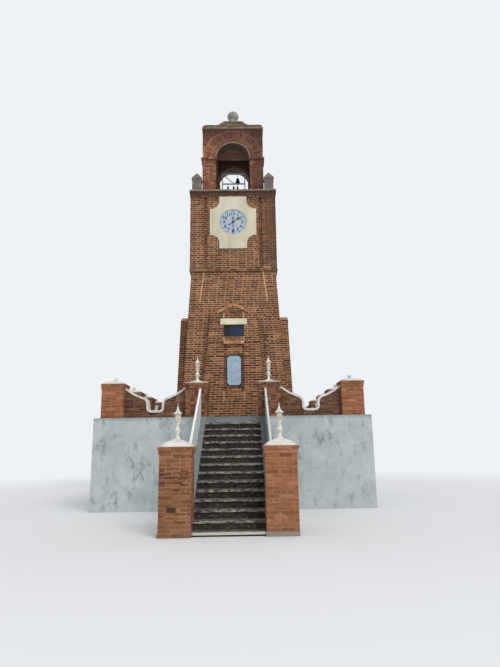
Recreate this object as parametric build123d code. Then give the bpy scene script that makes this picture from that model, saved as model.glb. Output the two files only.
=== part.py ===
from build123d import *
import math
import os

# Clock tower of brick on a raised rendered platform, with a front stair between gate pillars.
# Millimetres. +Z is up, the front with the stair and the dial faces -Y.
# The origin lies on the tower's vertical axis, on the ground under the platform.

# Brickwork
course = 72
corbel_courses = 2

# Stair and platform
riser = 160
first_riser = 75
going = 267
tread_count = 14
tread_thickness = 45
nosing_overhang = 25
step_width = 1400
gate_step_width = 1336
gate_steps = 2
stair_clear_width = 1670
stair_wall_thickness = 45
stair_wall_top_at_platform = 720
stair_coping_thickness = 30
stair_coping_overhang = 6
platform_width = 7200

# Pillars beside the stair and along the parapet
pillar_width = 575
pillar_inset = 140
gate_pillar_lead = 50
gate_brick_height = 1430
gate_foot_height = 80
gate_foot_overhang = 12
head_brick_height = 760
gate_corbel_step = 15
head_corbel_step = 12
cap_setback = 25
gate_cap_setback = 5
cap_edge = 22
cap_flat_half = 80
gate_cap_height = 130
gate_cap_bulge = 14
head_cap_height = 80
head_cap_hollow = 12
stub_radius = 55
stub_height = 95
stub_sides = 8

# Lamp standards on the four stair pillars
lamp_sides = 8
lamp_base_radius = 58
lamp_base_height = 20
lamp_ankle_radius = 27
lamp_ankle_height = 65
lamp_vase_radius = 57
lamp_vase_low_share = 0.3
lamp_vase_high_share = 0.75
lamp_vase_height = 108
lamp_neck_radius = 30
lamp_taper_share = 0.6
lamp_neck_height = 86
lamp_collar_radius = 44
lamp_collar_height = 42
lantern_floor_radius = 52
lantern_floor_height = 14
lantern_height = 148
lantern_lower_radius = 34
lantern_upper_radius = 54
lantern_bar = 9
lantern_sides = 6
lamp_roof_radius = 84
lamp_roof_edge = 12
lamp_roof_height = 105
lamp_roof_waist = 0.4
lamp_spike_radius = 10
lamp_spike_tip_radius = 3
lamp_spike_height = 78

# Parapet between the pillars
parapet_thickness = 240
parapet_shoulder_height = 515
parapet_low_height = 145
parapet_sweep_length = 430
parapet_sweep_hollow = 22
parapet_shoulder_radius = 150
parapet_foot_radius = 120
bend_facets = 3
parapet_coping_thickness = 60
parapet_coping_overhang = 30

# Tower shaft with its battered walls
shaft_base_half = 1610
shaft_top_half = 1352
shaft_height = 4745
wall_thickness = 450
ledge_reach = 14

# Battered projection in the middle of each face
projection_height = 3285
projection_base_half = 1000
projection_top_half = 710
projection_depth = 230
projection_batter = 90
recess_half = 303
recess_bottom = 842
recess_top = 2276
recess_depth = 66
string_course_height = 96
string_course_reach = 22
gable_half = 530
gable_rise = 258
gable_shoulder_half = 200
gable_shoulder_rise = 190
gable_reach = 16

# Window and plaque on the front projection
window_sill = 2500
window_height = 390
window_half = 303
window_frame_width = 30
window_frame_depth = 45
window_reveal = 70
window_glass_thickness = 6
lintel_half = 407
lintel_height = 185
lintel_depth = 230
lintel_reach = 8
plaque_half = 206
plaque_height = 881
plaque_bottom = 1026
plaque_corner = 66
plaque_thickness = 16
plaque_border = 30
plaque_frame_thickness = 14

# Clock stage
clock_half = 1402
clock_stage_height = 2508
pilaster_width = 452
groove_width = 105
groove_depth = 60
cornice_courses = 3
cornice_step = 10
belfry_slab_reach = 38
belfry_slab_thickness = 50

# Cross shaped panel with the dial and its hands
dial_drop = 898
panel_half_width = 760
panel_arm_half = 462
panel_stem_half = 450
panel_drop = 922
panel_lobe_radius = 270
panel_thickness = 40
dial_radius = 428
dial_thickness = 16
dial_rim_width = 22
dial_rim_height = 30
dial_sides = 72
dial_recess_gap = 2
arbor_radius = 8
arbor_bore_clearance = 0.08
arbor_flange_radius = 34
arbor_flange_height = 4
arbor_nut_radius = 17
arbor_nut_height = 10
hand_thickness = 6
hand_hub_radius = 30
hand_hub_height = 12
hub_gap = 1
minute_hand_length = 392
hour_hand_length = 285
hand_tail_length = 150
hand_width = 22
spade_radius = 38
spade_sides = 10
spade_point_share = 2.2
spade_shoulder_angle = 25
tail_disc_share = 0.7
hand_taper = 0.5
minute_hand_angle = 180
hour_hand_angle = 54

# Belfry
belfry_setback = 362
belfry_pier = 455
belfry_pier_height = 1335
impost_height = 70
impost_reach = 45
arch_wall_height = 1125
arch_setback = 5
roof_slab_reach = 32
roof_slab_thickness = 50
ring_beam_width = 100
ring_beam_drop = 250
roof_layer_setback = 37
roof_layer_thickness = 95
roof_courses = 9
roof_foot_setback = 75
roof_top_half = 350
roof_flare = 0.6
finial_foot_radius = 190
finial_foot_height = 60
finial_waist_height = 200
finial_neck_radius = 130
finial_neck_height = 300
finial_ball_radius = 207
finial_crown_radius = 60
finial_lobes = 10
finial_rows = 6
pinnacle_width = 300
pinnacle_height = 440
pinnacle_eaves = 20
pinnacle_eaves_height = 30
pinnacle_roof_height = 250
pinnacle_setback = 58

# Bells on their steel frame
bell_frame_gap = 155
bell_frame_height = 1394
bell_frame_bar = 40
bell_rail_height = 962
brace_bar = 24
brace_foot_place = 30
bell_foot = 110
bell_foot_thickness = 10
large_bell_radius = 96
large_bell_height = 150
large_bell_place = 152
large_bell_hanger = 180
small_bell_radius = 48
small_bell_height = 75
small_bell_hanger = 85
small_bell_places = (-202, 3, 143)
bell_wall = 7
bell_hanger_width = 16
bell_sides = 16
bell_shoulder_share = 0.55
bell_waist_share = 0.64
bell_waist_height_share = 0.38

# Levels worked out from the sizes above
platform_top = first_riser + tread_count * riser
platform_half = platform_width / 2
corbel_height = corbel_courses * course
shaft_top = platform_top + shaft_height
clock_base = shaft_top + course
clock_top = clock_base + clock_stage_height
dial_height = clock_top - dial_drop
cornice_top = clock_top + cornice_courses * course
belfry_floor = cornice_top + belfry_slab_thickness
impost_base = belfry_floor + belfry_pier_height
arch_base = impost_base + impost_height
arch_top = arch_base + arch_wall_height
roof_base = arch_top + roof_slab_thickness
roof_step_base = roof_base + roof_layer_thickness
roof_top = roof_step_base + roof_courses * course

# Places worked out from the sizes above
pillar_inner = gate_step_width / 2 + gate_foot_overhang
pillar_gap = 2 * pillar_inner
pillar_centre = pillar_inner + pillar_width / 2
pillar_outer = pillar_inner + pillar_width
parapet_line = platform_half - pillar_inset - pillar_width / 2
parapet_end_height = head_brick_height
corner_inner = parapet_line - pillar_width / 2
stair_run = tread_count * going
gate_front = -platform_half - stair_run - gate_pillar_lead
gate_centre_y = gate_front + pillar_width / 2
gate_back = gate_front + pillar_width
stair_slope = riser / going
shaft_inner = shaft_top_half - wall_thickness
ledge_half = clock_half + ledge_reach
belfry_slab_half = clock_half + belfry_slab_reach
pinnacle_centre = belfry_slab_half - pinnacle_setback - pinnacle_eaves - pinnacle_width / 2
projection_base_reach = shaft_base_half + projection_depth
projection_top_reach = projection_base_reach - projection_batter
belfry_half = clock_half - belfry_setback
belfry_inner = belfry_half - belfry_pier
bell_frame_half = belfry_inner - bell_frame_gap
roof_slab_half = belfry_half + roof_slab_reach
roof_layer_half = roof_slab_half - roof_layer_setback
roof_base_half = roof_layer_half - roof_foot_setback
arch_radius = belfry_inner - arch_setback


def block(x_low, x_high, y_low, y_high, z_low, z_high):
    """Return a box given by its limits along the three axes."""
    size = Box(x_high - x_low, y_high - y_low, z_high - z_low)
    return Pos((x_low + x_high) / 2, (y_low + y_high) / 2, (z_low + z_high) / 2) * size


def stacked(rings):
    """Return a solid with flat faces between rings of points, all rings with as many points."""
    faces = [make_face(Polyline(rings[0], close=True)), make_face(Polyline(rings[-1], close=True))]
    for lower, upper in zip(rings, rings[1:]):
        for index in range(len(lower)):
            after = (index + 1) % len(lower)
            corners = [lower[index], lower[after], upper[after], upper[index]]
            faces.append(make_face(Polyline(corners, close=True)))
    return Solid(Shell([item.faces()[0] for item in faces]))


def faceted(profile, sides):
    """Return a turned form with flat facets through (radius, height) points from foot to top."""
    rings = []
    for radius, height in profile:
        turn = 2 * math.pi / sides
        ring = [(radius * math.cos(turn * side), radius * math.sin(turn * side)) for side in range(sides)]
        rings.append([(x, y, height) for x, y in ring])
    return stacked(rings)


def rectangle_ring(x_low, x_high, y_low, y_high, height):
    """Return the corners of a level rectangle, for a stack."""
    corners = [(x_low, y_low), (x_high, y_low), (x_high, y_high), (x_low, y_high)]
    return [(x, y, height) for x, y in corners]


def arc_points(centre, radius, start, end, count):
    """Return the points of an arc between two angles in degrees, both ends included."""
    points = []
    for index in range(count + 1):
        angle = math.radians(start + (end - start) * index / count)
        points.append((centre[0] + radius * math.cos(angle), centre[1] + radius * math.sin(angle)))
    return points


def square_block(half, z_low, z_high):
    """Return a square slab about the tower's axis."""
    return block(-half, half, -half, half, z_low, z_high)


def prism_along_x(points, x_low, x_high):
    """Return a prism whose outline is given as (y, z) points."""
    outline = make_face(Polyline([(x_low, y, z) for y, z in points], close=True))
    return extrude(outline, amount=x_high - x_low, dir=(1, 0, 0))


def prism_along_y(points, y_low, y_high):
    """Return a prism whose outline is given as (x, z) points."""
    outline = make_face(Polyline([(x, y_low, z) for x, z in points], close=True))
    return extrude(outline, amount=y_high - y_low, dir=(0, 1, 0))


def turned(shape, count=4):
    """Return copies of a shape turned about the tower's axis, one for each side."""
    return [Rot(0, 0, side * 360 / count) * shape for side in range(count)]


def facing(shape, y_face, height=0):
    """Stand a flat sketch solid upright, facing the front, with its back on y_face."""
    return Pos(0, y_face, height) * Rot(90, 0, 0) * shape


def sides_of(solid_ring, split_half):
    """Cut a square ring into its front, back and two side walls."""
    reach = platform_width
    front = solid_ring & block(-reach, reach, -reach, -split_half, 0, reach * 2)
    back = solid_ring & block(-reach, reach, split_half, reach, 0, reach * 2)
    left = solid_ring & block(-reach, -split_half, -split_half, split_half, 0, reach * 2)
    right = solid_ring & block(split_half, reach, -split_half, split_half, 0, reach * 2)
    return front, back, left, right


# Stair

def nosing_y(step):
    """Return the y of the front edge of a tread, counted from 1 at the foot."""
    return -platform_half - (tread_count + 1 - step) * going


def tread_top(step):
    """Return the height of the top of a tread."""
    return first_riser + (step - 1) * riser


def stair_treads():
    """Slab treads with a projecting nosing, each bedded on the core."""
    treads = []
    for step in range(1, tread_count + 1):
        half = (gate_step_width if step <= gate_steps else step_width) / 2
        back = nosing_y(step + 1) + nosing_overhang
        back = min(back, -platform_half)
        top = tread_top(step)
        treads.append(block(-half, half, nosing_y(step), back, top - tread_thickness, top))
    return treads


def stair_core():
    """Stepped masonry under the treads, narrower between the gate pillars."""
    half = step_width / 2
    points = [(nosing_y(1) + nosing_overhang, 0)]
    for step in range(1, tread_count + 1):
        face = nosing_y(step) + nosing_overhang
        bed = tread_top(step) - tread_thickness
        next_face = min(nosing_y(step + 1) + nosing_overhang, -platform_half)
        points.append((face, bed))
        points.append((next_face, bed))
    points.append((-platform_half, 0))
    core = prism_along_x(points, -half, half)
    gate_half = gate_step_width / 2
    core -= block(gate_half, half, gate_front, gate_back, 0, platform_top)
    core -= block(-half, -gate_half, gate_front, gate_back, 0, platform_top)
    return core


def stair_wall():
    """Thin rendered side wall of the stair on the right, with its sloping kerb and coping."""
    inner = stair_clear_width / 2
    outer = inner + stair_wall_thickness
    head_face = -platform_half + pillar_inset
    high = platform_top + stair_wall_top_at_platform
    low = high - (head_face - gate_back) * stair_slope
    kerb_low = tread_top(1) + (gate_back - nosing_y(1)) * stair_slope
    body = [
        (gate_back, 0),
        (-platform_half, 0),
        (-platform_half, platform_top),
        (head_face, platform_top),
        (head_face, high),
        (gate_back, low),
    ]
    coping = [
        (gate_back, low),
        (head_face, high),
        (head_face, high + stair_coping_thickness),
        (gate_back, low + stair_coping_thickness),
    ]
    kerb = [(gate_back, 0), (gate_back, kerb_low), (-platform_half, platform_top), (-platform_half, 0)]
    wall = prism_along_x(body, inner, outer)
    wall += prism_along_x(coping, inner - stair_coping_overhang, outer + stair_coping_overhang)
    wall += prism_along_x(kerb, step_width / 2, inner)
    return wall


def stair_walls():
    """Both side walls of the stair."""
    wall = stair_wall()
    return [wall, mirror(wall, about=Plane.YZ)]


# Pillars and their caps

def brick_pillar(base, brick_height, corbel_step, foot=False):
    """Square brick pillar on the z axis with projecting courses at its head."""
    half = pillar_width / 2
    pillar = block(-half, half, -half, half, base, base + brick_height)
    for level in range(corbel_courses):
        reach = half + (level + 1) * corbel_step
        low = base + brick_height + level * course
        pillar += block(-reach, reach, -reach, reach, low, low + course)
    if foot:
        reach = half + gate_foot_overhang
        pillar += block(-reach, reach, -reach, half, base, base + gate_foot_height)
    return pillar


def cap_outline(half, height, swell):
    """Return the upright outline of a pillar cap, swollen or hollowed by swell."""
    run = half - cap_flat_half
    fall = height - cap_edge
    slope_length = math.hypot(run, fall)
    middle_x = (half + cap_flat_half) / 2 + swell * fall / slope_length
    middle_z = cap_edge + fall / 2 + swell * run / slope_length
    right = ThreePointArc((half, cap_edge), (middle_x, middle_z), (cap_flat_half, height))
    left = ThreePointArc((-cap_flat_half, height), (-middle_x, middle_z), (-half, cap_edge))
    edges = [
        Line((-half, 0), (half, 0)),
        Line((half, 0), (half, cap_edge)),
        right,
        Line((cap_flat_half, height), (-cap_flat_half, height)),
        left,
        Line((-half, cap_edge), (-half, 0)),
    ]
    return make_face(edges)


def pillar_cap(base, half, height, swell):
    """Four sided rendered cap whose faces curve like the outline both ways."""
    outline = cap_outline(half, height, swell)
    bar = extrude(outline, amount=half, both=True)
    one_way = Rot(90, 0, 0) * bar
    other_way = Rot(0, 0, 90) * one_way
    return Pos(0, 0, base) * (one_way & other_way)


def at_gate(shape):
    """Place a shape on both gate pillars."""
    return [Pos(side * pillar_centre, gate_centre_y, 0) * shape for side in (-1, 1)]


def at_head(shape):
    """Place a shape on both pillars at the head of the stair."""
    return [Pos(side * pillar_centre, -parapet_line, 0) * shape for side in (-1, 1)]


def at_parapet(shape):
    """Place a shape on the four corners and the six pillars of the unseen sides."""
    corners = turned(Pos(parapet_line, -parapet_line, 0) * shape)
    pair = [Pos(side * pillar_centre, -parapet_line, 0) * shape for side in (-1, 1)]
    middles = []
    for turn in (90, 180, 270):
        middles += [Rot(0, 0, turn) * item for item in pair]
    return corners + middles


def gate_pillars():
    """Two tall brick pillars at the foot of the stair."""
    return at_gate(brick_pillar(0, gate_brick_height, gate_corbel_step, foot=True))


def head_pillars():
    """Two brick pillars at the head of the stair."""
    return at_head(brick_pillar(platform_top, head_brick_height, head_corbel_step))


def parapet_pillars():
    """Brick pillars at the corners and along the other sides of the platform."""
    return at_parapet(brick_pillar(platform_top, head_brick_height, head_corbel_step))


gate_cap_base = gate_brick_height + corbel_height
head_cap_base = platform_top + head_brick_height + corbel_height
gate_cap_half = pillar_width / 2 + corbel_courses * gate_corbel_step - gate_cap_setback
head_cap_half = pillar_width / 2 + corbel_courses * head_corbel_step - cap_setback


def gate_pillar_caps():
    """Domed caps of the gate pillars."""
    return at_gate(pillar_cap(gate_cap_base, gate_cap_half, gate_cap_height, gate_cap_bulge))


def head_pillar_caps():
    """Flared caps of the pillars at the head of the stair."""
    return at_head(pillar_cap(head_cap_base, head_cap_half, head_cap_height, -head_cap_hollow))


def parapet_pillar_caps():
    """Domed caps with the stub that is left of a lamp."""
    cap = pillar_cap(head_cap_base, head_cap_half, head_cap_height, gate_cap_bulge)
    stub_base = head_cap_base + head_cap_height
    stub = extrude(Pos(0, 0, stub_base) * RegularPolygon(stub_radius, stub_sides), amount=stub_height)
    return at_parapet(cap + stub)


# Lamp standards

lamp_ankle_top = lamp_base_height + lamp_ankle_height
lamp_vase_top = lamp_ankle_top + lamp_vase_height
lamp_neck_top = lamp_vase_top + lamp_neck_height
lamp_collar_top = lamp_neck_top + lamp_collar_height
lantern_base = lamp_collar_top + lantern_floor_height
lamp_roof_base = lantern_base + lantern_height


def lamp_post():
    """Vase shaped post with its foot, neck and collar."""
    vase_half = (lamp_ankle_radius + lamp_vase_radius) / 2
    profile = [
        (lamp_base_radius, 0),
        (lamp_base_radius, lamp_base_height / 2),
        (vase_half, lamp_base_height),
        (lamp_ankle_radius, lamp_ankle_top),
        (vase_half, lamp_ankle_top + lamp_vase_height * lamp_vase_low_share),
        (lamp_vase_radius, lamp_ankle_top + lamp_vase_height * lamp_vase_high_share),
        (vase_half, lamp_vase_top),
        (lamp_neck_radius, lamp_vase_top + lamp_neck_height * lamp_taper_share),
        (lamp_neck_radius, lamp_neck_top),
        (lamp_collar_radius, lamp_neck_top + lamp_collar_height * lamp_taper_share),
        (lamp_collar_radius, lamp_collar_top),
        (lantern_floor_radius, lantern_base),
    ]
    return faceted(profile, lamp_sides)


def lantern_bars():
    """Six leaning corner bars outside the glass, from the lantern's floor to its roof."""
    lower = lantern_lower_radius + lantern_bar / 2
    upper = lantern_upper_radius + lantern_bar / 2
    half = lantern_bar / 2
    foot = rectangle_ring(lower - half, lower + half, -half, half, lantern_base)
    head = rectangle_ring(upper - half, upper + half, -half, half, lamp_roof_base)
    return turned(stacked([foot, head]), lantern_sides)


def lantern_roof():
    """Flared roof with its spike."""
    eaves = lamp_roof_base + lamp_roof_edge
    neck = eaves + lamp_roof_height
    profile = [
        (lamp_roof_radius, lamp_roof_base),
        (lamp_roof_radius, eaves),
        (lamp_roof_radius * lamp_roof_waist, eaves + lamp_roof_height * lamp_roof_waist),
        (lamp_spike_radius, neck),
        (lamp_spike_tip_radius, neck + lamp_spike_height),
    ]
    return faceted(profile, lamp_sides)


def lamp_standard():
    """Post, lantern cage and roof of one lamp, standing at z = 0."""
    lamp = lamp_post() + lantern_roof()
    for bar in lantern_bars():
        lamp += bar
    return lamp


def lantern_glass():
    """Tapered six sided glass inside the lantern cage."""
    profile = [(lantern_lower_radius, lantern_base), (lantern_upper_radius, lamp_roof_base)]
    return faceted(profile, lantern_sides)


def stair_lamps():
    """The four lamp standards."""
    lamp = lamp_standard()
    gate = at_gate(Pos(0, 0, gate_cap_base + gate_cap_height) * lamp)
    head = at_head(Pos(0, 0, head_cap_base + head_cap_height) * lamp)
    return gate + head


def lamp_glasses():
    """The glass bodies of the four lanterns."""
    glass = lantern_glass()
    gate = at_gate(Pos(0, 0, gate_cap_base + gate_cap_height) * glass)
    head = at_head(Pos(0, 0, head_cap_base + head_cap_height) * glass)
    return gate + head


# Parapet

def half_bay(length, lift):
    """Outline from a pillar to the bay's middle: sweep, shoulder, drop and low wall.

    lift moves the outline outward by the coping's thickness.
    """
    end = parapet_end_height + lift
    shoulder = parapet_shoulder_height + lift
    low = parapet_low_height + lift
    round_radius = parapet_shoulder_radius + lift
    foot_radius = parapet_foot_radius - lift
    drop_x = parapet_sweep_length + round_radius
    middle = (parapet_sweep_length / 2, (end + shoulder) / 2 - parapet_sweep_hollow)
    points = [(0, 0), (0, end), middle]
    points += arc_points((parapet_sweep_length, shoulder - round_radius), round_radius, 90, 0, bend_facets)
    points += arc_points((drop_x + foot_radius, low + foot_radius), foot_radius, 180, 270, bend_facets)
    points += [(length / 2, low), (length / 2, 0)]
    return make_face(Polyline(points, close=True))


def bay_face(length, lift):
    """Outline of a whole bay, centred on x = 0."""
    right = Pos(-length / 2, 0) * half_bay(length, lift)
    return right + mirror(right, about=Plane.YZ)


def upright_bay(face, thickness):
    """Extrude a bay's outline about the parapet's line at the front of the platform."""
    slab = extrude(face, amount=thickness / 2, both=True)
    return facing(slab, -parapet_line, platform_top)


def bay_wall(length):
    """Brick wall of one bay."""
    return upright_bay(bay_face(length, 0), parapet_thickness)


def bay_coping(length):
    """Rendered coping that follows the top of one bay."""
    band = bay_face(length, parapet_coping_thickness) - bay_face(length, 0)
    return upright_bay(band, parapet_thickness + 2 * parapet_coping_overhang)


def clear_of_corbels(bay, length):
    """Cut the ends of a bay where the pillars' heads project into it."""
    front = -parapet_line - pillar_width / 2
    back = -parapet_line + pillar_width / 2
    for level in range(corbel_courses):
        reach = (level + 1) * head_corbel_step
        low = platform_top + head_brick_height + level * course
        for side in (-1, 1):
            edges = sorted((side * length / 2, side * (length / 2 - reach)))
            bay -= block(edges[0], edges[1], front, back, low, low + course)
    return bay


def all_bays(make_bay):
    """Place two bays at the front and three on each of the other sides."""
    end_length = corner_inner - pillar_outer
    end_place = (corner_inner + pillar_outer) / 2
    end_bay = clear_of_corbels(make_bay(end_length), end_length)
    ends = [Pos(side * end_place, 0, 0) * end_bay for side in (-1, 1)]
    side_bays = ends + [clear_of_corbels(make_bay(pillar_gap), pillar_gap)]
    bays = list(ends)
    for turn in (90, 180, 270):
        bays += [Rot(0, 0, turn) * bay for bay in side_bays]
    return bays


def parapet_walls():
    """All brick bays of the parapet."""
    return all_bays(bay_wall)


def parapet_copings():
    """All copings of the parapet."""
    return all_bays(bay_coping)


# Tower shaft and projections

def battered(base_half, top_half, base, height):
    """Square mass whose four faces lean inward."""
    lower = rectangle_ring(-base_half, base_half, -base_half, base_half, base)
    upper = rectangle_ring(-top_half, top_half, -top_half, top_half, base + height)
    return stacked([lower, upper])


def shaft_mass():
    """Outer form of the shaft."""
    return battered(shaft_base_half, shaft_top_half, platform_top, shaft_height)


def window_hole():
    """Opening of the window, through the front projection and the wall."""
    sill = platform_top + window_sill
    front = -projection_base_reach * 2
    return block(-window_half, window_half, front, 0, sill, sill + window_height)


def shaft_walls():
    """Front, back and side walls of the shaft around its hollow."""
    ring = shaft_mass() - square_block(shaft_inner, platform_top, shaft_top)
    front, back, left, right = sides_of(ring, shaft_inner)
    return front - window_hole() - lintel_block(), back, [left, right]


def projection_face(height):
    """Return how far the projection's face stands from the axis at a height above its foot."""
    share = height / projection_height
    return projection_base_reach + (projection_top_reach - projection_base_reach) * share


def projection():
    """Battered mass in the middle of the front, with its recessed panel."""
    base = projection_base_half
    head = projection_top_half
    lower = rectangle_ring(-base, base, -projection_base_reach, 0, platform_top)
    upper = rectangle_ring(-head, head, -projection_top_reach, 0, platform_top + projection_height)
    mass = stacked([lower, upper]) - shaft_mass()
    face = -projection_face(recess_top)
    back = face + recess_depth
    low = platform_top + recess_bottom
    high = platform_top + recess_top
    return mass - block(-recess_half, recess_half, 2 * face, back, low, high)


def lintel_block():
    """Plain cream beam over the window."""
    low = platform_top + window_sill + window_height
    face = -projection_face(window_sill + window_height) - lintel_reach
    return block(-lintel_half, lintel_half, face, face + lintel_depth, low, low + lintel_height)


def front_projection():
    """Projection of the front, cut for the window, its lintel and the string course."""
    return projection() - window_hole() - lintel_block() - string_course()


def other_projections():
    """Projections of the other three sides."""
    plain = projection() - string_course()
    return [Rot(0, 0, turn) * plain for turn in (90, 180, 270)]


def string_course():
    """Projecting course at the head of the recessed panel."""
    low = platform_top + recess_top
    face = -projection_face(recess_top)
    front = face - string_course_reach
    return block(-recess_half, recess_half, front, face + recess_depth, low, low + string_course_height)


def gable():
    """Small gable of moulded bricks on top of the projection."""
    low = platform_top + projection_height
    front = -projection_top_reach - gable_reach
    shoulder = low + gable_shoulder_rise
    outline = [
        (-gable_half, low),
        (-gable_shoulder_half, shoulder),
        (0, low + gable_rise),
        (gable_shoulder_half, shoulder),
        (gable_half, low),
    ]
    return prism_along_y(outline, front, 0) - shaft_mass()


def projection_trims():
    """Gables and string courses of all four projections."""
    return turned(gable()) + turned(string_course())


def window_frame():
    """Dark blue frame of the fixed window with one upright bar."""
    sill = platform_top + window_sill
    face = -projection_face(window_sill + window_height) + window_reveal
    back = face + window_frame_depth
    frame = block(-window_half, window_half, face, back, sill, sill + window_height)
    edge = window_frame_width
    light_half = window_half - edge
    frame -= block(-light_half, light_half, face, back, sill + edge, sill + window_height - edge)
    bar = edge / 2
    frame += block(-bar, bar, face, back, sill + edge, sill + window_height - edge)
    return frame


def window_glass():
    """Two panes between the frame and its upright bar."""
    sill = platform_top + window_sill + window_frame_width
    high = platform_top + window_sill + window_height - window_frame_width
    face = -projection_face(window_sill + window_height) + window_reveal
    middle = face + window_frame_depth / 2
    near = middle - window_glass_thickness / 2
    far = middle + window_glass_thickness / 2
    bar = window_frame_width / 2
    outer = window_half - window_frame_width
    right = block(bar, outer, near, far, sill, high)
    left = block(-outer, -bar, near, far, sill, high)
    return [left, right]


plaque_back = -projection_face(recess_top) + recess_depth


def plaque_frame():
    """Black backing of the plaque, fixed on the recess."""
    half = plaque_half + plaque_border
    height = plaque_height + 2 * plaque_border
    board = extrude(Rectangle(2 * half, height), amount=plaque_frame_thickness)
    centre = platform_top + plaque_bottom + plaque_height / 2
    return facing(board, plaque_back, centre)


def plaque():
    """Bare marble plaque with cut corners."""
    outline = chamfer(Rectangle(2 * plaque_half, plaque_height).vertices(), plaque_corner)
    slab = extrude(outline, amount=plaque_thickness)
    centre = platform_top + plaque_bottom + plaque_height / 2
    return facing(slab, plaque_back - plaque_frame_thickness, centre)


def ledge_course():
    """Projecting course between the shaft and the clock stage."""
    outer = square_block(ledge_half, shaft_top, clock_base)
    return outer - square_block(shaft_inner, shaft_top, clock_base)


# Clock stage

def clock_stage_walls():
    """Front, back and side walls with corner pilasters beside upright grooves."""
    ring = square_block(clock_half, clock_base, clock_top)
    ring -= square_block(shaft_inner, clock_base, clock_top)
    outer = clock_half - pilaster_width
    for side in (-1, 1):
        edges = sorted((side * outer, side * (outer - groove_width)))
        bottom = -clock_half + groove_depth
        groove = block(edges[0], edges[1], -platform_width, bottom, clock_base, clock_top)
        for item in turned(groove):
            ring -= item
    front, back, left, right = sides_of(ring, shaft_inner)
    return front, back, [left, right]


def clock_cornice():
    """Corbelled courses under the belfry floor."""
    cornice = None
    for level in range(cornice_courses):
        low = clock_top + level * course
        layer = square_block(clock_half + (level + 1) * cornice_step, low, low + course)
        cornice = layer if cornice is None else cornice + layer
    return cornice - square_block(shaft_inner, clock_top, cornice_top)


def clock_panel():
    """Cross shaped plaster panel cut by four rounded brick lobes and the dial's round opening."""
    rise = dial_drop
    top = Pos(0, (rise - panel_drop) / 2) * Rectangle(2 * panel_half_width, rise + panel_drop)
    outline = top
    for up in (-1, 1):
        reach = rise if up > 0 else panel_drop
        width = panel_half_width - panel_stem_half
        height = reach - panel_arm_half
        centre = (panel_stem_half + width / 2, up * (panel_arm_half + height / 2))
        corner = Pos(*centre) * Rectangle(width, height)
        inner = corner.vertices().sort_by_distance((0, 0, 0))[0]
        corner = fillet(inner, panel_lobe_radius)
        outline -= corner
        outline -= mirror(corner, about=Plane.YZ)
    outline -= RegularPolygon(dial_radius + dial_rim_width + dial_recess_gap, dial_sides)
    return facing(extrude(outline, amount=panel_thickness), -clock_half, dial_height)


def clock_dial():
    """Round dial with a raised rim, set back in the panel's round opening."""
    outer = RegularPolygon(dial_radius + dial_rim_width, dial_sides)
    inner = RegularPolygon(dial_radius, dial_sides)
    disc = extrude(inner, amount=dial_thickness)
    rim = extrude(outer - inner, amount=dial_rim_height)
    return facing(disc + rim, -clock_half, dial_height)


dial_face = -clock_half - dial_thickness
hour_hub_back = arbor_flange_height + hub_gap
minute_hub_back = hour_hub_back + hand_hub_height + hub_gap
nut_back = minute_hub_back + hand_hub_height + hub_gap


def clock_arbor():
    """Fixed arbor that carries both hands, with its flange and end nut."""
    arbor = extrude(Circle(arbor_flange_radius), amount=arbor_flange_height)
    arbor += extrude(Circle(arbor_radius), amount=nut_back)
    arbor += Pos(0, 0, nut_back) * extrude(Circle(arbor_nut_radius), amount=arbor_nut_height)
    return facing(arbor, dial_face, dial_height)


def hand(length, hub_back, angle):
    """Spade hand with a round tail, turned clockwise by angle from twelve."""
    half = hand_width / 2
    spade_centre = length - spade_point_share * spade_radius
    blade = Polygon(
        (-half, -hand_tail_length),
        (half, -hand_tail_length),
        (half * hand_taper, spade_centre),
        (-half * hand_taper, spade_centre),
        align=None,
    )
    spade = Pos(0, spade_centre) * RegularPolygon(spade_radius, spade_sides)
    shoulder = math.radians(spade_shoulder_angle)
    shoulder_half = spade_radius * math.cos(shoulder)
    shoulder_height = spade_centre + spade_radius * math.sin(shoulder)
    point = Polygon(
        (-shoulder_half, shoulder_height),
        (shoulder_half, shoulder_height),
        (0, length),
        align=None,
    )
    tail = Pos(0, -hand_tail_length) * RegularPolygon(spade_radius * tail_disc_share, spade_sides)
    plate_back = hub_back + (hand_hub_height - hand_thickness) / 2
    plate = extrude(blade + spade + point + tail, amount=hand_thickness)
    solid = Pos(0, 0, plate_back) * plate
    solid += Pos(0, 0, hub_back) * extrude(Circle(hand_hub_radius), amount=hand_hub_height)
    bore = extrude(Circle(arbor_radius + arbor_bore_clearance), amount=nut_back + hand_hub_height)
    return facing(Rot(0, 0, -angle) * (solid - bore), dial_face, dial_height)


def hour_hand():
    """Hour hand, next to the dial."""
    return hand(hour_hand_length, hour_hub_back, hour_hand_angle)


def minute_hand():
    """Minute hand, in front of the hour hand."""
    return hand(minute_hand_length, minute_hub_back, minute_hand_angle)


# Belfry

def belfry_slab():
    """Floor slab of the belfry, with its thin edge over the cornice."""
    return square_block(belfry_slab_half, cornice_top, belfry_floor)


def belfry_piers():
    """Four corner piers, each with its impost band."""
    centre = belfry_half - belfry_pier / 2
    half = belfry_pier / 2
    pier = block(-half, half, -half, half, belfry_floor, impost_base)
    reach = half + impost_reach
    pier += block(-reach, reach, -reach, reach, impost_base, arch_base)
    return turned(Pos(centre, -centre, 0) * pier)


def arch_wall(half_width):
    """Wall over one opening with its round arch, on the front of the belfry."""
    wall = block(-half_width, half_width, -belfry_half, -belfry_inner, arch_base, arch_top)
    barrel = Cylinder(arch_radius, 4 * belfry_half, rotation=(90, 0, 0))
    return wall - Pos(0, 0, arch_base) * barrel


def belfry_front_and_back_arches():
    """Arched walls over the full width at the front and the back."""
    wall = arch_wall(belfry_half)
    return [wall, Rot(0, 0, 180) * wall]


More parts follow.
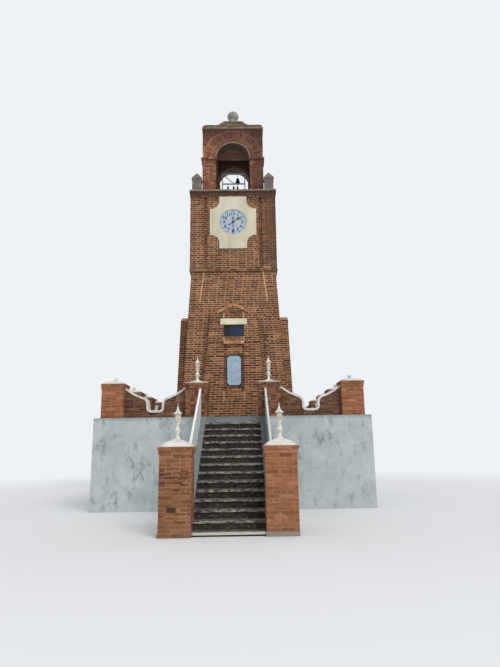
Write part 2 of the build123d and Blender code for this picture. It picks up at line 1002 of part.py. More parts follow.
def belfry_side_arches():
    """Arched walls on the left and right, between the other two."""
    wall = arch_wall(belfry_inner)
    return [Rot(0, 0, 90) * wall, Rot(0, 0, -90) * wall]


def belfry_roof_slab():
    """Roof slab with the plastered ring beam that hangs below it, inside the walls."""
    slab = square_block(roof_slab_half, arch_top, roof_base)
    beam = square_block(belfry_inner, arch_top - ring_beam_drop, arch_top)
    beam -= square_block(belfry_inner - ring_beam_width, arch_top - ring_beam_drop, arch_top)
    return slab + beam


def stepped_roof():
    """Low brick pyramid of stepped courses, flared towards its foot, on a thin bed."""
    roof = square_block(roof_layer_half, roof_base, roof_step_base)
    for level in range(roof_courses):
        share = (level / (roof_courses - 1)) ** roof_flare
        half = roof_base_half - (roof_base_half - roof_top_half) * share
        low = roof_step_base + level * course
        roof += square_block(half, low, low + course)
    return roof


def roof_finial():
    """Grey stone bud with upright lobes, on a short neck with a flared foot."""
    sink = math.asin(finial_neck_radius / finial_ball_radius)
    crown = math.asin(finial_crown_radius / finial_ball_radius)
    centre = finial_neck_height + finial_ball_radius * math.cos(sink)
    profile = [
        (finial_foot_radius, 0),
        (finial_foot_radius, finial_foot_height),
        (finial_neck_radius, finial_waist_height),
    ]
    for row in range(finial_rows + 1):
        angle = sink + (math.pi - sink - crown) * row / finial_rows
        height = centre - finial_ball_radius * math.cos(angle)
        profile.append((finial_ball_radius * math.sin(angle), height))
    return Pos(0, 0, roof_top) * faceted(profile, finial_lobes)


def corner_pinnacles():
    """Square stone pinnacles on the corners of the clock stage."""
    half = pinnacle_width / 2
    eaves = half + pinnacle_eaves
    shaft = block(-half, half, -half, half, belfry_floor, belfry_floor + pinnacle_height)
    low = belfry_floor + pinnacle_height
    shaft += block(-eaves, eaves, -eaves, eaves, low, low + pinnacle_eaves_height)
    foot = low + pinnacle_eaves_height
    tip = pinnacle_eaves / 2
    lower = rectangle_ring(-eaves, eaves, -eaves, eaves, foot)
    upper = rectangle_ring(-tip, tip, -tip, tip, foot + pinnacle_roof_height)
    shaft += stacked([lower, upper])
    return turned(Pos(pinnacle_centre, -pinnacle_centre, 0) * shaft)


# Bells

def bar_between(start, end, width):
    """Square bar in the plane y = 0 between two (x, z) points."""
    run = end[0] - start[0]
    rise = end[1] - start[1]
    length = math.hypot(run, rise)
    angle = math.degrees(math.atan2(rise, run))
    middle = Pos((start[0] + end[0]) / 2, 0, (start[1] + end[1]) / 2)
    return middle * Rot(0, -angle, 0) * Box(length, width, width)


def bell_frame():
    """Light steel frame: two posts, a top bar, a bell rail and one brace."""
    half_bar = bell_frame_bar / 2
    post_centre = bell_frame_half - half_bar
    low = belfry_floor
    high = belfry_floor + bell_frame_height
    rail = belfry_floor + bell_rail_height
    frame = block(-bell_frame_half, bell_frame_half, -half_bar, half_bar, high - bell_frame_bar, high)
    frame += block(-bell_frame_half, bell_frame_half, -half_bar, half_bar, rail, rail + bell_frame_bar)
    foot_half = bell_foot / 2
    for side in (-1, 1):
        x = side * post_centre
        frame += block(x - half_bar, x + half_bar, -half_bar, half_bar, low, high)
        frame += block(x - foot_half, x + foot_half, -foot_half, foot_half, low, low + bell_foot_thickness)
    corner = (-post_centre, high - half_bar)
    frame += bar_between(corner, (brace_foot_place, rail + half_bar), brace_bar)
    return frame


def bell_form(radius, height):
    """Return the outer form of a bell with its crown at z = 0."""
    profile = [
        (radius, -height),
        (radius * bell_waist_share, -height * (1 - bell_waist_height_share)),
        (radius * bell_shoulder_share, 0),
    ]
    return faceted(profile, bell_sides)


def bell(radius, height, hanger):
    """Hollow bell hung from a square rod whose upper end is at z = 0."""
    hollow = bell_form(radius - bell_wall, height) - block(-radius, radius, -radius, radius, -bell_wall, 0)
    body = Pos(0, 0, -hanger) * (bell_form(radius, height) - hollow)
    half = bell_hanger_width / 2
    return body + block(-half, half, -half, half, -hanger, 0)


def bells():
    """One larger bell under the top bar and three small ones under the rail."""
    rail = belfry_floor + bell_rail_height
    top_bar = belfry_floor + bell_frame_height - bell_frame_bar
    large = bell(large_bell_radius, large_bell_height, large_bell_hanger)
    hung = [Pos(large_bell_place, 0, top_bar) * large]
    small = bell(small_bell_radius, small_bell_height, small_bell_hanger)
    hung += [Pos(place, 0, rail) * small for place in small_bell_places]
    return hung


def platform_plinth():
    """Rendered mass of the platform down to the ground."""
    return square_block(platform_half, 0, platform_top)


def save(name, shape):
    """Write one sub-part, joining a list of separate solids into one file."""
    solids = []
    for item in shape if isinstance(shape, list) else [shape]:
        solids += item.solids()
    export_step(Compound(children=solids) if len(solids) > 1 else solids[0], f"parts/{name}.step")


def main():
    os.makedirs("parts", exist_ok=True)
    shaft_front, shaft_back, shaft_sides = shaft_walls()
    clock_front, clock_back, clock_sides = clock_stage_walls()
    nodes = {
        "platform_plinth": platform_plinth(),
        "stair_core": stair_core(),
        "stair_treads": stair_treads(),
        "stair_walls": stair_walls(),
        "gate_pillars": gate_pillars(),
        "gate_pillar_caps": gate_pillar_caps(),
        "head_pillars": head_pillars(),
        "head_pillar_caps": head_pillar_caps(),
        "parapet_pillars": parapet_pillars(),
        "parapet_pillar_caps": parapet_pillar_caps(),
        "stair_lamps": stair_lamps(),
        "lamp_glasses": lamp_glasses(),
        "parapet_walls": parapet_walls(),
        "parapet_copings": parapet_copings(),
        "shaft_front_wall": shaft_front,
        "shaft_back_wall": shaft_back,
        "shaft_side_walls": shaft_sides,
        "front_projection": front_projection(),
        "other_projections": other_projections(),
        "projection_trims": projection_trims(),
        "window_lintel": lintel_block(),
        "window_frame": window_frame(),
        "window_glass": window_glass(),
        "plaque_frame": plaque_frame(),
        "plaque": plaque(),
        "ledge_course": ledge_course(),
        "clock_stage_front_wall": clock_front,
        "clock_stage_back_wall": clock_back,
        "clock_stage_side_walls": clock_sides,
        "clock_cornice": clock_cornice(),
        "clock_panel": clock_panel(),
        "clock_dial": clock_dial(),
        "clock_arbor": clock_arbor(),
        "hour_hand": hour_hand(),
        "minute_hand": minute_hand(),
        "belfry_slab": belfry_slab(),
        "belfry_piers": belfry_piers(),
        "belfry_front_and_back_arches": belfry_front_and_back_arches(),
        "belfry_side_arches": belfry_side_arches(),
        "belfry_roof_slab": belfry_roof_slab(),
        "stepped_roof": stepped_roof(),
        "roof_finial": roof_finial(),
        "corner_pinnacles": corner_pinnacles(),
        "bell_frame": bell_frame(),
        "bells": bells(),
    }
    for name, shape in nodes.items():
        save(name, shape)


if __name__ == "__main__":
    main()
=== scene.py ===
import math

import bmesh
import bpy
from bpy.props import FloatProperty, FloatVectorProperty, IntProperty, PointerProperty
from bpy.types import Operator, Panel, PropertyGroup
from mathutils import Matrix, Vector
from mathutils.bvhtree import BVHTree


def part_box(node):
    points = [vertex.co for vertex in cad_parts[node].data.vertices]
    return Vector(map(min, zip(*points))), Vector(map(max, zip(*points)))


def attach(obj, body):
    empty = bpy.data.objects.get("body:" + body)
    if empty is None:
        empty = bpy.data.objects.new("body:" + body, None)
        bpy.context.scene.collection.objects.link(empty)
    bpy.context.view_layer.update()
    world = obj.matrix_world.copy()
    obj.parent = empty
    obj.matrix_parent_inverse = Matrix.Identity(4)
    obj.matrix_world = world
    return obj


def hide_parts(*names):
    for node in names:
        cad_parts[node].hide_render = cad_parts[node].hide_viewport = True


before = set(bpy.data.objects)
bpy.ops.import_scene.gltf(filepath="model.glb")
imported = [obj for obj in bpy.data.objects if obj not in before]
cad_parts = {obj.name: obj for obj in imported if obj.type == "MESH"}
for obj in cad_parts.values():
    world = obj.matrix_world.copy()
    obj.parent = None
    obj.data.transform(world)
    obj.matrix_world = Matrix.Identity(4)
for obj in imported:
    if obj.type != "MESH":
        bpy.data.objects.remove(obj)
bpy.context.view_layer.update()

bl_info = {
    "name": "Brick Clock Tower",
    "version": (1, 1, 0),
    "blender": (4, 5, 0),
    "location": "3D View > Sidebar > Clock Tower",
    "description": "Lays the bricks of a clock tower and finishes its clock, lamps and stonework",
    "category": "Object",
}

BODY = "tower"

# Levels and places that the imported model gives, in metres.
PLATFORM_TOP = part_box("platform_plinth")[1][2]
SHAFT_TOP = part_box("ledge_course")[0][2]
SHAFT_HOLLOW = -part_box("shaft_front_wall")[1][1]
CLOCK_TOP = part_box("clock_cornice")[0][2]
CLOCK_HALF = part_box("clock_stage_front_wall")[1][0]
BELFRY_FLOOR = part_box("belfry_slab")[1][2]
ARCH_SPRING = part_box("belfry_piers")[1][2]
ARCH_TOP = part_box("belfry_side_arches")[1][2]
BELFRY_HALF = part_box("belfry_front_and_back_arches")[1][0]
BELFRY_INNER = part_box("belfry_side_arches")[1][1]
WINDOW_LOW, WINDOW_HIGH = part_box("window_frame")

FRONT = Vector((0, -1, 0))
UP = Vector((0, 0, 1))
# The stair's slope, rise over going, and the direction square to it.
STAIR_SLOPE = 160 / 267
STAIR_NORMAL = (0.0, -STAIR_SLOPE, 1.0)
# The right corner of the clock stage, which stays damp: the middle and half size of a box.
DAMP_CORNER = (Vector((CLOCK_HALF, -CLOCK_HALF, (CLOCK_TOP + SHAFT_TOP) / 2 + 0.2)), (0.3, 0.5, 1.1))
# Stretches of a course that are shorter than this get no brick.
SHORTEST = 0.03


# Small tools

def linear(code):
    """Turn an sRGB hex value into a linear colour with full alpha."""
    channels = [int(code[index:index + 2], 16) / 255 for index in (1, 3, 5)]
    return (*[c / 12.92 if c <= 0.04045 else ((c + 0.055) / 1.055) ** 2.4 for c in channels], 1.0)


def add(tree, kind, sockets=None, stops=None, **settings):
    """Add a node with its settings, its socket values or links, and its ramp stops.

    A node that is given for a socket is linked from its first output.
    """
    node = tree.nodes.new(kind)
    for name, value in settings.items():
        setattr(node, name, value)
    for socket, value in (sockets or {}).items():
        if isinstance(value, bpy.types.Node):
            value = value.outputs[0]
        if isinstance(value, bpy.types.NodeSocket):
            tree.links.new(value, node.inputs[socket])
        else:
            node.inputs[socket].default_value = value
    if stops:
        elements = node.color_ramp.elements
        while len(elements) < len(stops):
            elements.new(0.5)
        for element, (position, colour) in zip(elements, stops):
            element.position = position
            element.color = colour
    return node


def new_finish(name, roughness, more=None):
    """Start a material: its tree, its shader and the object coordinates."""
    material = bpy.data.materials.new(name)
    material.use_nodes = True
    tree = material.node_tree
    tree.nodes.clear()
    values = {"Roughness": roughness, "IOR": 1.5} | (more or {})
    shader = add(tree, "ShaderNodeBsdfPrincipled", values)
    add(tree, "ShaderNodeOutputMaterial", {"Surface": shader})
    return material, tree, shader, add(tree, "ShaderNodeTexCoord").outputs["Object"]


def noise_between(tree, place, size_mm, low, high, start, end, detail=6.0, rough=0.6):
    """Noise with spots of a real size, spread between two values."""
    values = {"Vector": place, "Scale": 1000 / size_mm, "Detail": detail, "Roughness": rough}
    spots = add(tree, "ShaderNodeTexNoise", values)
    return add(tree, "ShaderNodeMapRange", {0: spots, 1: start, 2: end, 3: low, 4: high})


def surfaced(tree, shader, colour, height, strength, depth):
    """Give a shader its colour and its unevenness."""
    bump = add(tree, "ShaderNodeBump", {"Height": height, "Strength": strength, "Distance": depth})
    tree.links.new(colour, shader.inputs["Base Color"])
    tree.links.new(bump.outputs["Normal"], shader.inputs["Normal"])


def washed(tree, place, colour, washes):
    """Lay washes over a colour, each between two values of a direction, a box or the span from the axis."""
    for where, start, end, code, share in washes:
        if where in ("span", "side"):
            # The greater of the distances from the middle planes, or only the one to the side.
            spans = add(tree, "ShaderNodeVectorMath", {0: place}, operation="ABSOLUTE")
            sides = add(tree, "ShaderNodeSeparateXYZ", {0: spans}).outputs
            other = sides["Y"] if where == "span" else sides["X"]
            level = add(tree, "ShaderNodeMath", {0: sides["X"], 1: other}, operation="MAXIMUM")
        elif len(where) == 2:
            # The distance outside a box that is given by its middle and its half size.
            middle, half = where
            away = add(tree, "ShaderNodeVectorMath", {0: place, 1: middle}, operation="SUBTRACT")
            away = add(tree, "ShaderNodeVectorMath", {0: away}, operation="ABSOLUTE")
            away = add(tree, "ShaderNodeVectorMath", {0: away, 1: half}, operation="SUBTRACT")
            sides = add(tree, "ShaderNodeSeparateXYZ", {0: away}).outputs
            level = add(tree, "ShaderNodeMath", {0: sides["X"], 1: sides["Y"]}, operation="MAXIMUM")
            level = add(tree, "ShaderNodeMath", {0: level, 1: sides["Z"]}, operation="MAXIMUM")
        else:
            dot = add(tree, "ShaderNodeVectorMath", {0: place, 1: where}, operation="DOT_PRODUCT")
            level = dot.outputs["Value"]
        # The edge of a wash is ragged by about a third of its own width either way, in tongues of 120 mm.
        ragged = 0.35 * abs(end - start)
        ragged = noise_between(tree, place, 120, -ragged, ragged, 0.25, 0.75)
        level = add(tree, "ShaderNodeMath", {0: level, 1: ragged}, operation="ADD")
        amount = add(tree, "ShaderNodeMapRange", {0: level, 1: start, 2: end, 3: 0.0, 4: share})
        tones = {0: amount, 6: colour, 7: linear(code)}
        colour = add(tree, "ShaderNodeMix", tones, data_type="RGBA").outputs[2]
    return colour


def piece_from(name, mesh, material):
    """Make a finished piece of the tower from a mesh whose place is in its points."""
    piece = bpy.data.objects.new(name, mesh)
    bpy.context.scene.collection.objects.link(piece)
    if not mesh.materials:
        mesh.materials.append(material)
    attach(piece, BODY)
    return piece


def formed(name, forms, material, smooth=False):
    """Make a piece from closed forms, each given as rows of points: quads join the rows and caps end them."""
    points, faces = [], []
    for rows in forms:
        start, columns = len(points), len(rows[0])
        for row in rows:
            points += [tuple(point) for point in row]
        for row in range(len(rows) - 1):
            here, above = start + row * columns, start + (row + 1) * columns
            for column in range(columns):
                after = (column + 1) % columns
                faces.append((here + column, here + after, above + after, above + column))
        for end in (start, start + (len(rows) - 1) * columns):
            faces.append(tuple(range(end, end + columns)))
    mesh = bpy.data.meshes.new(name)
    mesh.from_pydata(points, [], faces)
    shape = bmesh.new()
    shape.from_mesh(mesh)
    bmesh.ops.remove_doubles(shape, verts=shape.verts, dist=1e-5)
    bmesh.ops.recalc_face_normals(shape, faces=shape.faces)
    shape.to_mesh(mesh)
    shape.free()
    if smooth:
        mesh.shade_smooth()
    return piece_from(name, mesh, material)


def paint(material, *nodes):
    """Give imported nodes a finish."""
    for name in nodes:
        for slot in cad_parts[name].material_slots:
            slot.link = "OBJECT"
            slot.material = material


def quarter_turns(vector):
    """Yield a vector turned to each of the four sides, with the turn."""
    for side in range(4):
        turn = Matrix.Rotation(side * math.pi / 2, 3, "Z")
        yield turn @ vector, turn


# Finishes

def fired_brick(name, tones, soot, soot_share, bloom_share=0.3, washes=()):
    """Hand-moulded clay brick, kiln fired: a tone for each brick, a sandy face, soot and lime bloom."""
    material, tree, shader, place = new_finish(name, 0.9)
    tone = add(tree, "ShaderNodeAttribute", attribute_name="tone").outputs["Fac"]
    stops = [(position, linear(code)) for position, code in tones]
    colour = add(tree, "ShaderNodeValToRGB", {"Fac": tone}, stops=stops)
    # Fire marks and sand patches are about 60 mm across.
    light = noise_between(tree, place, 60, 0.86, 1.12, 0.3, 0.7, detail=4.0)
    colour = add(tree, "ShaderNodeVectorMath", {0: colour, 3: light}, operation="SCALE")
    # Lime from the joints blooms in pale flecks about 45 mm across.
    bloom = noise_between(tree, place, 45, 0.0, bloom_share, 0.56, 0.66, detail=3.0)
    # Soot and damp gather in patches about a metre wide, broken up at 150 mm.
    sooty = noise_between(tree, place, 1100, 0.0, soot_share, 0.48, 0.72, detail=8.0)
    for share, code in ((bloom, "#b3937c"), (sooty, soot)):
        layers = {0: share, 6: colour, 7: linear(code)}
        colour = add(tree, "ShaderNodeMix", layers, data_type="RGBA").outputs[2]
    colour = washed(tree, place, colour, washes)
    # The sand grains are about 4 mm, drawn at 9 mm to show.
    grain = add(tree, "ShaderNodeTexNoise", {"Vector": place, "Scale": 1000 / 9, "Detail": 3.0})
    surfaced(tree, shader, colour, grain, 0.5, 0.003)
    return material


def mineral(
    name, pale, deep, stain, stain_share, patch_mm, grain_mm, grain_depth, streak=1.0, edge=(0.47, 0.72),
    top=None, underside_shading=None, washes=(), roughness=0.93
):
    """Mortar, render, plaster or stone: two tones in patches, stains that run, a tone on top, and painted
    shade, or painted light where the tone is pale, on faces that look down.
    """
    material, tree, shader, place = new_finish(name, roughness)
    patches = noise_between(tree, place, patch_mm, 0.0, 1.0, 0.34, 0.66)
    # Stains are finer than the patches and drawn out downwards.
    run = add(tree, "ShaderNodeMapping", {"Vector": place, "Scale": (1.0, 1.0, 1.0 / streak)})
    stains = noise_between(tree, run, patch_mm / 2.4, 0.0, stain_share, *edge, detail=7.0, rough=0.65)
    colour = linear(deep)
    for share, code in ((patches, pale), (stains, stain)):
        layers = {0: share, 6: colour, 7: linear(code)}
        colour = add(tree, "ShaderNodeMix", layers, data_type="RGBA").outputs[2]
    colour = washed(tree, place, colour, washes)
    # The tone for faces that look down is painted shade where it is dark and painted light where it is pale.
    for given, low, high in ((top, 0.2, 0.9), (underside_shading, -0.2, -0.9)):
        if given:
            code, most = given
            normal = add(tree, "ShaderNodeTexCoord").outputs["Normal"]
            upward = add(tree, "ShaderNodeSeparateXYZ", {0: normal}).outputs["Z"]
            facing = add(tree, "ShaderNodeMapRange", {0: upward, 1: low, 2: high, 3: 0.0, 4: most})
            broken = noise_between(tree, place, patch_mm / 2, 0.5, 1.0, 0.38, 0.6)
            share = add(tree, "ShaderNodeMath", {0: facing, 1: broken}, operation="MULTIPLY")
            layers = {0: share, 6: colour, 7: linear(code)}
            colour = add(tree, "ShaderNodeMix", layers, data_type="RGBA").outputs[2]
    grain = add(tree, "ShaderNodeTexNoise", {"Vector": place, "Scale": 1000 / grain_mm, "Detail": 5.0})
    surfaced(tree, shader, colour, grain, 0.6, grain_depth)
    return material


def coated(name, base, worn, roughness, metallic=0.0, wear=0.35, patch_mm=70):
    """Paint, enamel or metal: one colour with a second in small worn patches and a slight unevenness."""
    material, tree, shader, place = new_finish(name, roughness, {"Metallic": metallic})
    base = linear(base) if isinstance(base, str) else tuple(base)
    patches = add(tree, "ShaderNodeTexNoise", {"Vector": place, "Scale": 1000 / patch_mm, "Detail": 7.0})
    amount = add(tree, "ShaderNodeMapRange", {0: patches, 1: 0.5, 2: 0.7, 3: 0.0, 4: wear})
    layers = {0: amount, 6: base, 7: linear(worn)}
    colour = add(tree, "ShaderNodeMix", layers, data_type="RGBA").outputs[2]
    surfaced(tree, shader, colour, patches, 0.25, 0.001)
    return material


def pane(name, dark, light, roughness, washes=()):
    """Glass seen from outside, with its reflection painted in: a deep tone that shades towards a lighter one,
    with a sharp gloss.
    """
    gloss = {"IOR": 1.52, "Specular IOR Level": 0.3, "Coat Weight": 0.1, "Coat Roughness": 0.1}
    material, tree, shader, place = new_finish(name, roughness, gloss)
    shading = noise_between(tree, place, 330, 0.0, 1.0, 0.35, 0.65, detail=2.0)
    layers = {0: shading, 6: linear(dark), 7: linear(light)}
    colour = add(tree, "ShaderNodeMix", layers, data_type="RGBA").outputs[2]
    tree.links.new(washed(tree, place, colour, washes), shader.inputs["Base Color"])
    return material


def tower_brick():
    # Dark reddish brown brick of the shaft and clock stage, dulled by rain, sooty under the cornice and in
    # painted shade below the belfry slab.
    tones = [(0.0, "#331b0f"), (0.25, "#4e2a17"), (0.5, "#62381f"), (0.8, "#784a2e"), (1.0, "#926445")]
    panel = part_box("clock_panel")
    tip = (0.0, -1.7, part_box("projection_trims")[1][2] - 0.12)
    washes = [
        # Soot and painted shade darken the cornice below the belfry slab; the narrow band right under the
        # slab is painted shadow.
        (UP, CLOCK_TOP - 0.25, CLOCK_TOP + 0.12, "#2f1b11", 0.66),
        (UP, CLOCK_TOP + 0.12, CLOCK_TOP + 0.17, "#1f1610", 0.8),
        (DAMP_CORNER, 0.25, -0.05, "#45291b", 0.72),
        # Mould grows below the plaster panel, and a painted shadow lies under the gable's tip.
        (((0, panel[0][1], panel[0][2]), (0.42, 0.2, 0.05)), 0.08, 0.0, "#2f2c1c", 0.75),
        ((tip, (0.09, 0.2, 0.012)), 0.03, 0.0, "#24150d", 0.8),
        # Moss and painted shade on the shaft to the right of its projection, under the gable's shoulder.
        (((1.0, -1.6, WINDOW_LOW[2]), (0.08, 0.25, 0.6)), 0.16, 0.0, "#46361f", 0.6),
    ]
    return fired_brick("Weathered fired brick", tones, "#4a3526", 0.5, washes=washes)


def belfry_washes(dark):
    # Soot and painted shade under the roof slab, and damp down the belfry's right side.
    return [
        (UP, ARCH_TOP - 0.75, ARCH_TOP - 0.15, dark, 0.82),
        ((1, 0, 0), BELFRY_HALF - 0.55, BELFRY_HALF - 0.3, dark, 0.62),
    ]


def belfry_brick(name="Rain-washed fired brick", inside=0.0):
    # Redder brick of the belfry, washed cleaner by the rain, and darker under the roof slab with soot and
    # painted shade.
    tones = [(0.0, "#4c2113"), (0.25, "#693520"), (0.55, "#7a4029"), (0.85, "#8b4e35"), (1.0, "#9e6448")]
    washes = belfry_washes("#2e1912")
    if inside:
        # The inside tone is soot and painted shade. All of it lies above this wash, so the whole takes the
        # tone.
        washes.append((UP, BELFRY_FLOOR - 2.0, BELFRY_FLOOR - 1.0, "#2c1e17", inside))
    return fired_brick(name, tones, "#46291c", 0.4, washes=washes)


def pillar_brick(cracks):
    # Orange brick of the pillars and parapet, softer fired and worn by hands and water.
    tones = [(0.0, "#794328"), (0.3, "#8c5334"), (0.6, "#955b3a"), (0.85, "#9d6444"), (1.0, "#ab7654")]
    washes = [
        ((0, 0, -1), -0.28, 0.0, "#6a5646", 0.55),
        # Painted shade under the caps darkens the tops of the corner pillars.
        (UP, PLATFORM_TOP + 0.75, PLATFORM_TOP + 0.9, "#54382b", 0.35),
        # The left gate pillar is painted darker than the right one, as painted shade of the trees over it.
        (((-1.02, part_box("gate_pillars")[0][1], 0.9), (0.3, 0.4, 0.7)), 0.2, -0.1, "#4a3426", 0.33),
        *cracks,
    ]
    return fired_brick("Soft orange fired brick", tones, "#5e4234", 0.35, 0.45, washes)


def shaded_brick():
    # The same brick at the stair's head and in the parapet, in a darker copy: painted shade of the trees over
    # them.
    tones = [(0.0, "#432215"), (0.35, "#553322"), (0.7, "#66412d"), (1.0, "#815e48")]
    return fired_brick("Tree-shaded dark fired brick", tones, "#3a291f", 0.4)


def moulded_brick():
    # Pale orange moulded brick of the gables and string courses.
    tones = [(0.0, "#9a6340"), (0.4, "#b47b52"), (0.8, "#c68f66"), (1.0, "#d2a47c")]
    return fired_brick("Moulded orange brick", tones, "#5a3a2a", 0.25)


def roof_brick():
    # Roof bricks, brown where the sun dries them and grey green where lichen holds.
    tones = [(0.0, "#553d2a"), (0.4, "#7d5a42"), (0.75, "#957055"), (1.0, "#ad9274")]
    return fired_brick("Lichened roof brick", tones, "#35331f", 0.85)


# Brickwork

def wall_planes(names):
    """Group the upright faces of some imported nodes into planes: normal, offset and extents."""
    # Faces that lean by more than 20 degrees and planes under 0.012 square metres get no bricks.
    planes = {}
    for name in names:
        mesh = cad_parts[name].data
        for face in mesh.polygons:
            normal = face.normal
            if abs(normal.z) > 0.35 or face.area < 1e-6:
                continue
            offset = normal.dot(face.center)
            key = (round(normal.x, 2), round(normal.y, 2), round(normal.z, 2), round(offset, 3))
            fresh = {"normal": normal.copy(), "offset": offset, "area": 0.0, "points": []}
            plane = planes.setdefault(key, fresh)
            plane["area"] += face.area
            plane["points"] += [mesh.vertices[index].co.copy() for index in face.vertices]
    return [plane for plane in planes.values() if plane["area"] > 0.012]


def plane_axes(plane):
    """Return the level axis and the upward axis in a wall plane."""
    along = UP.cross(plane["normal"]).normalized()
    return along, plane["normal"].cross(along).normalized()


def level_lines(names):
    """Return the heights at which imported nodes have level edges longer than 0.1 m."""
    heights = set()
    for name in names:
        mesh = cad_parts[name].data
        for edge in mesh.edges:
            one, other = (mesh.vertices[index].co for index in edge.vertices)
            if abs(one.z - other.z) < 1e-4 and (one - other).length > 0.1:
                heights.add(round(one.z, 3))
    return heights


def all_surfaces(names):
    """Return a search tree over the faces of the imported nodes."""
    points, faces = [], []
    for name in names:
        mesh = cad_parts[name].data
        start = len(points)
        points += [vertex.co.copy() for vertex in mesh.vertices]
        faces += [[start + index for index in face.vertices] for face in mesh.polygons]
    return BVHTree.FromPolygons(points, faces)


def outside(stretches, taken, gap):
    """Return what is left of some stretches outside those that are taken."""
    left = []
    for start, stop in stretches:
        for low, high in taken:
            if low < stop and high > start:
                if low - gap - start > SHORTEST:
                    left.append((start, low - gap))
                start = max(start, high + gap)
        if stop - start > SHORTEST:
            left.append((start, stop))
    return left


class Mason:
    """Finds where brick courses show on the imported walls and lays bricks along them."""

    # Open wall is searched for in steps along a course. A ray from this reach before a face has to meet it
    # within the error, and a second one, from just clear of it, looks as far as sight for what covers it.
    step, reach, error, clear, sight = 0.03, 0.03, 0.002, 0.004, 3.0
    # A course shows where it does at its middle and at this share of its height from top and bottom.
    margin = 0.12
    # A course joint this near to a level edge moves to it. Cuts within a course are at least so far apart.
    bed_slack, least_part = 0.02, 0.019
    # Upright joints keep this far from the end of a stretch, and a brick is sunk so deep in its bed.
    end_room, sunk = 0.08, 0.008

    def __init__(self, sizes):
        self.sizes = sizes
        self.surfaces = all_surfaces(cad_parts)
        self.bricks = []
        self.mask = None

    def shows(self, plane, along, up, distance, height):
        """True where the wall plane is solid and open to the air."""
        normal = plane["normal"]
        rise = (height - normal.z * plane["offset"]) / up.z
        point = along * distance + up * rise + normal * plane["offset"]
        if max(abs(point.x), abs(point.y)) < SHAFT_HOLLOW + 0.01 and PLATFORM_TOP < point.z < BELFRY_FLOOR:
            return False
        if self.mask and self.mask(point, normal):
            return False
        start = point + normal * self.reach
        hit, _, _, reach = self.surfaces.ray_cast(start, -normal, 2 * self.reach)
        if hit is None or abs(reach - self.reach) > self.error:
            return False
        _, facing, _, _ = self.surfaces.ray_cast(point + normal * self.clear, normal, self.sight)
        return facing is None or facing.dot(normal) < 0.0

    def runs(self, plane, along, up, low, high):
        """Return the stretches of a course that show."""
        inset = self.margin * (high - low)
        heights = (low + inset, (low + high) / 2, high - inset)
        places = [point.dot(along) for point in plane["points"]]
        first, last = min(places), max(places)

        def covered(distance):
            return all(self.shows(plane, along, up, distance, height) for height in heights)

        def edge(inside, beyond):
            for _ in range(4):
                middle = (inside + beyond) / 2
                if covered(middle):
                    inside = middle
                else:
                    beyond = middle
            return inside

        found, start, distance = [], None, first + self.clear
        while distance < last + self.step:
            here = distance < last and covered(distance)
            if here and start is None:
                start = edge(distance, distance - self.step)
            if not here and start is not None:
                stop = edge(distance - self.step, distance)
                if stop - start > SHORTEST:
                    found.append((start, stop))
                start = None
            distance += self.step
        return found

    def lengths(self, room, row, bond):
        """Return the brick lengths that fill a run, header or stretcher first by turns."""
        full, half, joint = self.sizes.stretcher, self.sizes.header, self.sizes.joint
        # Every other course of headers starts with half a header. In English bond every other course is of
        # headers and starts with a closer.
        if bond == "headers":
            full, half = half, half * 0.5
        elif row % 2 and bond == "english":
            full, half = half, half * 0.55
        size = half if row % 2 else full
        parts = []
        left = room
        while left > size + SHORTEST:
            parts.append(size)
            left -= size + joint
            size = full
        if left > SHORTEST + 0.005 or not parts:
            parts.append(left)
        scale = (room - joint * (len(parts) - 1)) / sum(parts)
        return [part * scale for part in parts]

    def course(self, plane, axes, turn, row, low, high, stretches, bond, cuts, worn):
        """Lay one course, or a part of one, along its stretches."""
        sizes = self.sizes
        along, up = axes
        normal = plane["normal"]
        rise = ((low + high) / 2 - normal.z * plane["offset"]) / up.z
        for start, stop in stretches:
            inner = sorted(cut for cut in cuts if start + self.end_room < cut < stop - self.end_room)
            marks = [start - sizes.proud] + inner + [stop + sizes.proud]
            for index, (left, right) in enumerate(zip(marks, marks[1:])):
                left += sizes.upright_line / 2 if index else 0.0
                right -= sizes.upright_line / 2 if index < len(marks) - 2 else 0.0
                for length in self.lengths(right - left, row, bond):
                    point = along * (left + length / 2) + up * rise + normal * plane["offset"]
                    left += length + sizes.joint
                    if not any((point - Vector(spot[:3])).length < spot[3] for spot in worn):
                        self.place(point, normal, turn, length, high - low - sizes.joint)

    def lay(self, names, bond, split=None, keep=None, worn=(), beside=()):
        """Lay all courses on the upright faces of some nodes, cut to fit round what is in their way."""
        edges = level_lines(beside)
        for plane in wall_planes(names):
            axes = plane_axes(plane)
            levels = [point.z for point in plane["points"]]
            low, high = min(levels), max(levels)
            if high - low < 0.04 or (keep and not keep(plane, low, high)):
                continue
            rows = max(1, round((high - low) / self.sizes.course))
            pitch = (high - low) / rows
            turn = Matrix((axes[0], -plane["normal"], axes[1])).transposed().to_euler()
            # Walls to the sides start the other way round, so that the corners bond.
            parity = 0 if abs(plane["normal"].y) > 0.7 else 1
            stops = sorted({round(level, 3) for level in levels} | edges)
            beds = [low + row * pitch for row in range(rows + 1)]
            near = [min(stops, key=lambda stop: abs(stop - bed)) for bed in beds]
            beds = [stop if abs(stop - bed) < self.bed_slack else bed for bed, stop in zip(beds, near)]
            for row, (bottom, top) in enumerate(zip(beds, beds[1:]), parity):
                cuts = split((bottom + top) / 2) if split else ()
                whole = self.runs(plane, *axes, bottom, top)
                self.course(plane, axes, turn, row, bottom, top, whole, bond, cuts, worn)
                # Levels are taken from the top, so that the crowns of arches are met.
                inner = []
                for level in reversed(stops):
                    if bottom + self.least_part < level < (inner or [top])[0] - self.least_part:
                        inner.insert(0, level)
                for part_low, part_high in zip([bottom] + inner, inner + [top]):
                    if inner:
                        found = self.runs(plane, *axes, part_low, part_high)
                        part = outside(found, whole, self.sizes.joint)
                        self.course(plane, axes, turn, row, part_low, part_high, part, bond, cuts, worn)

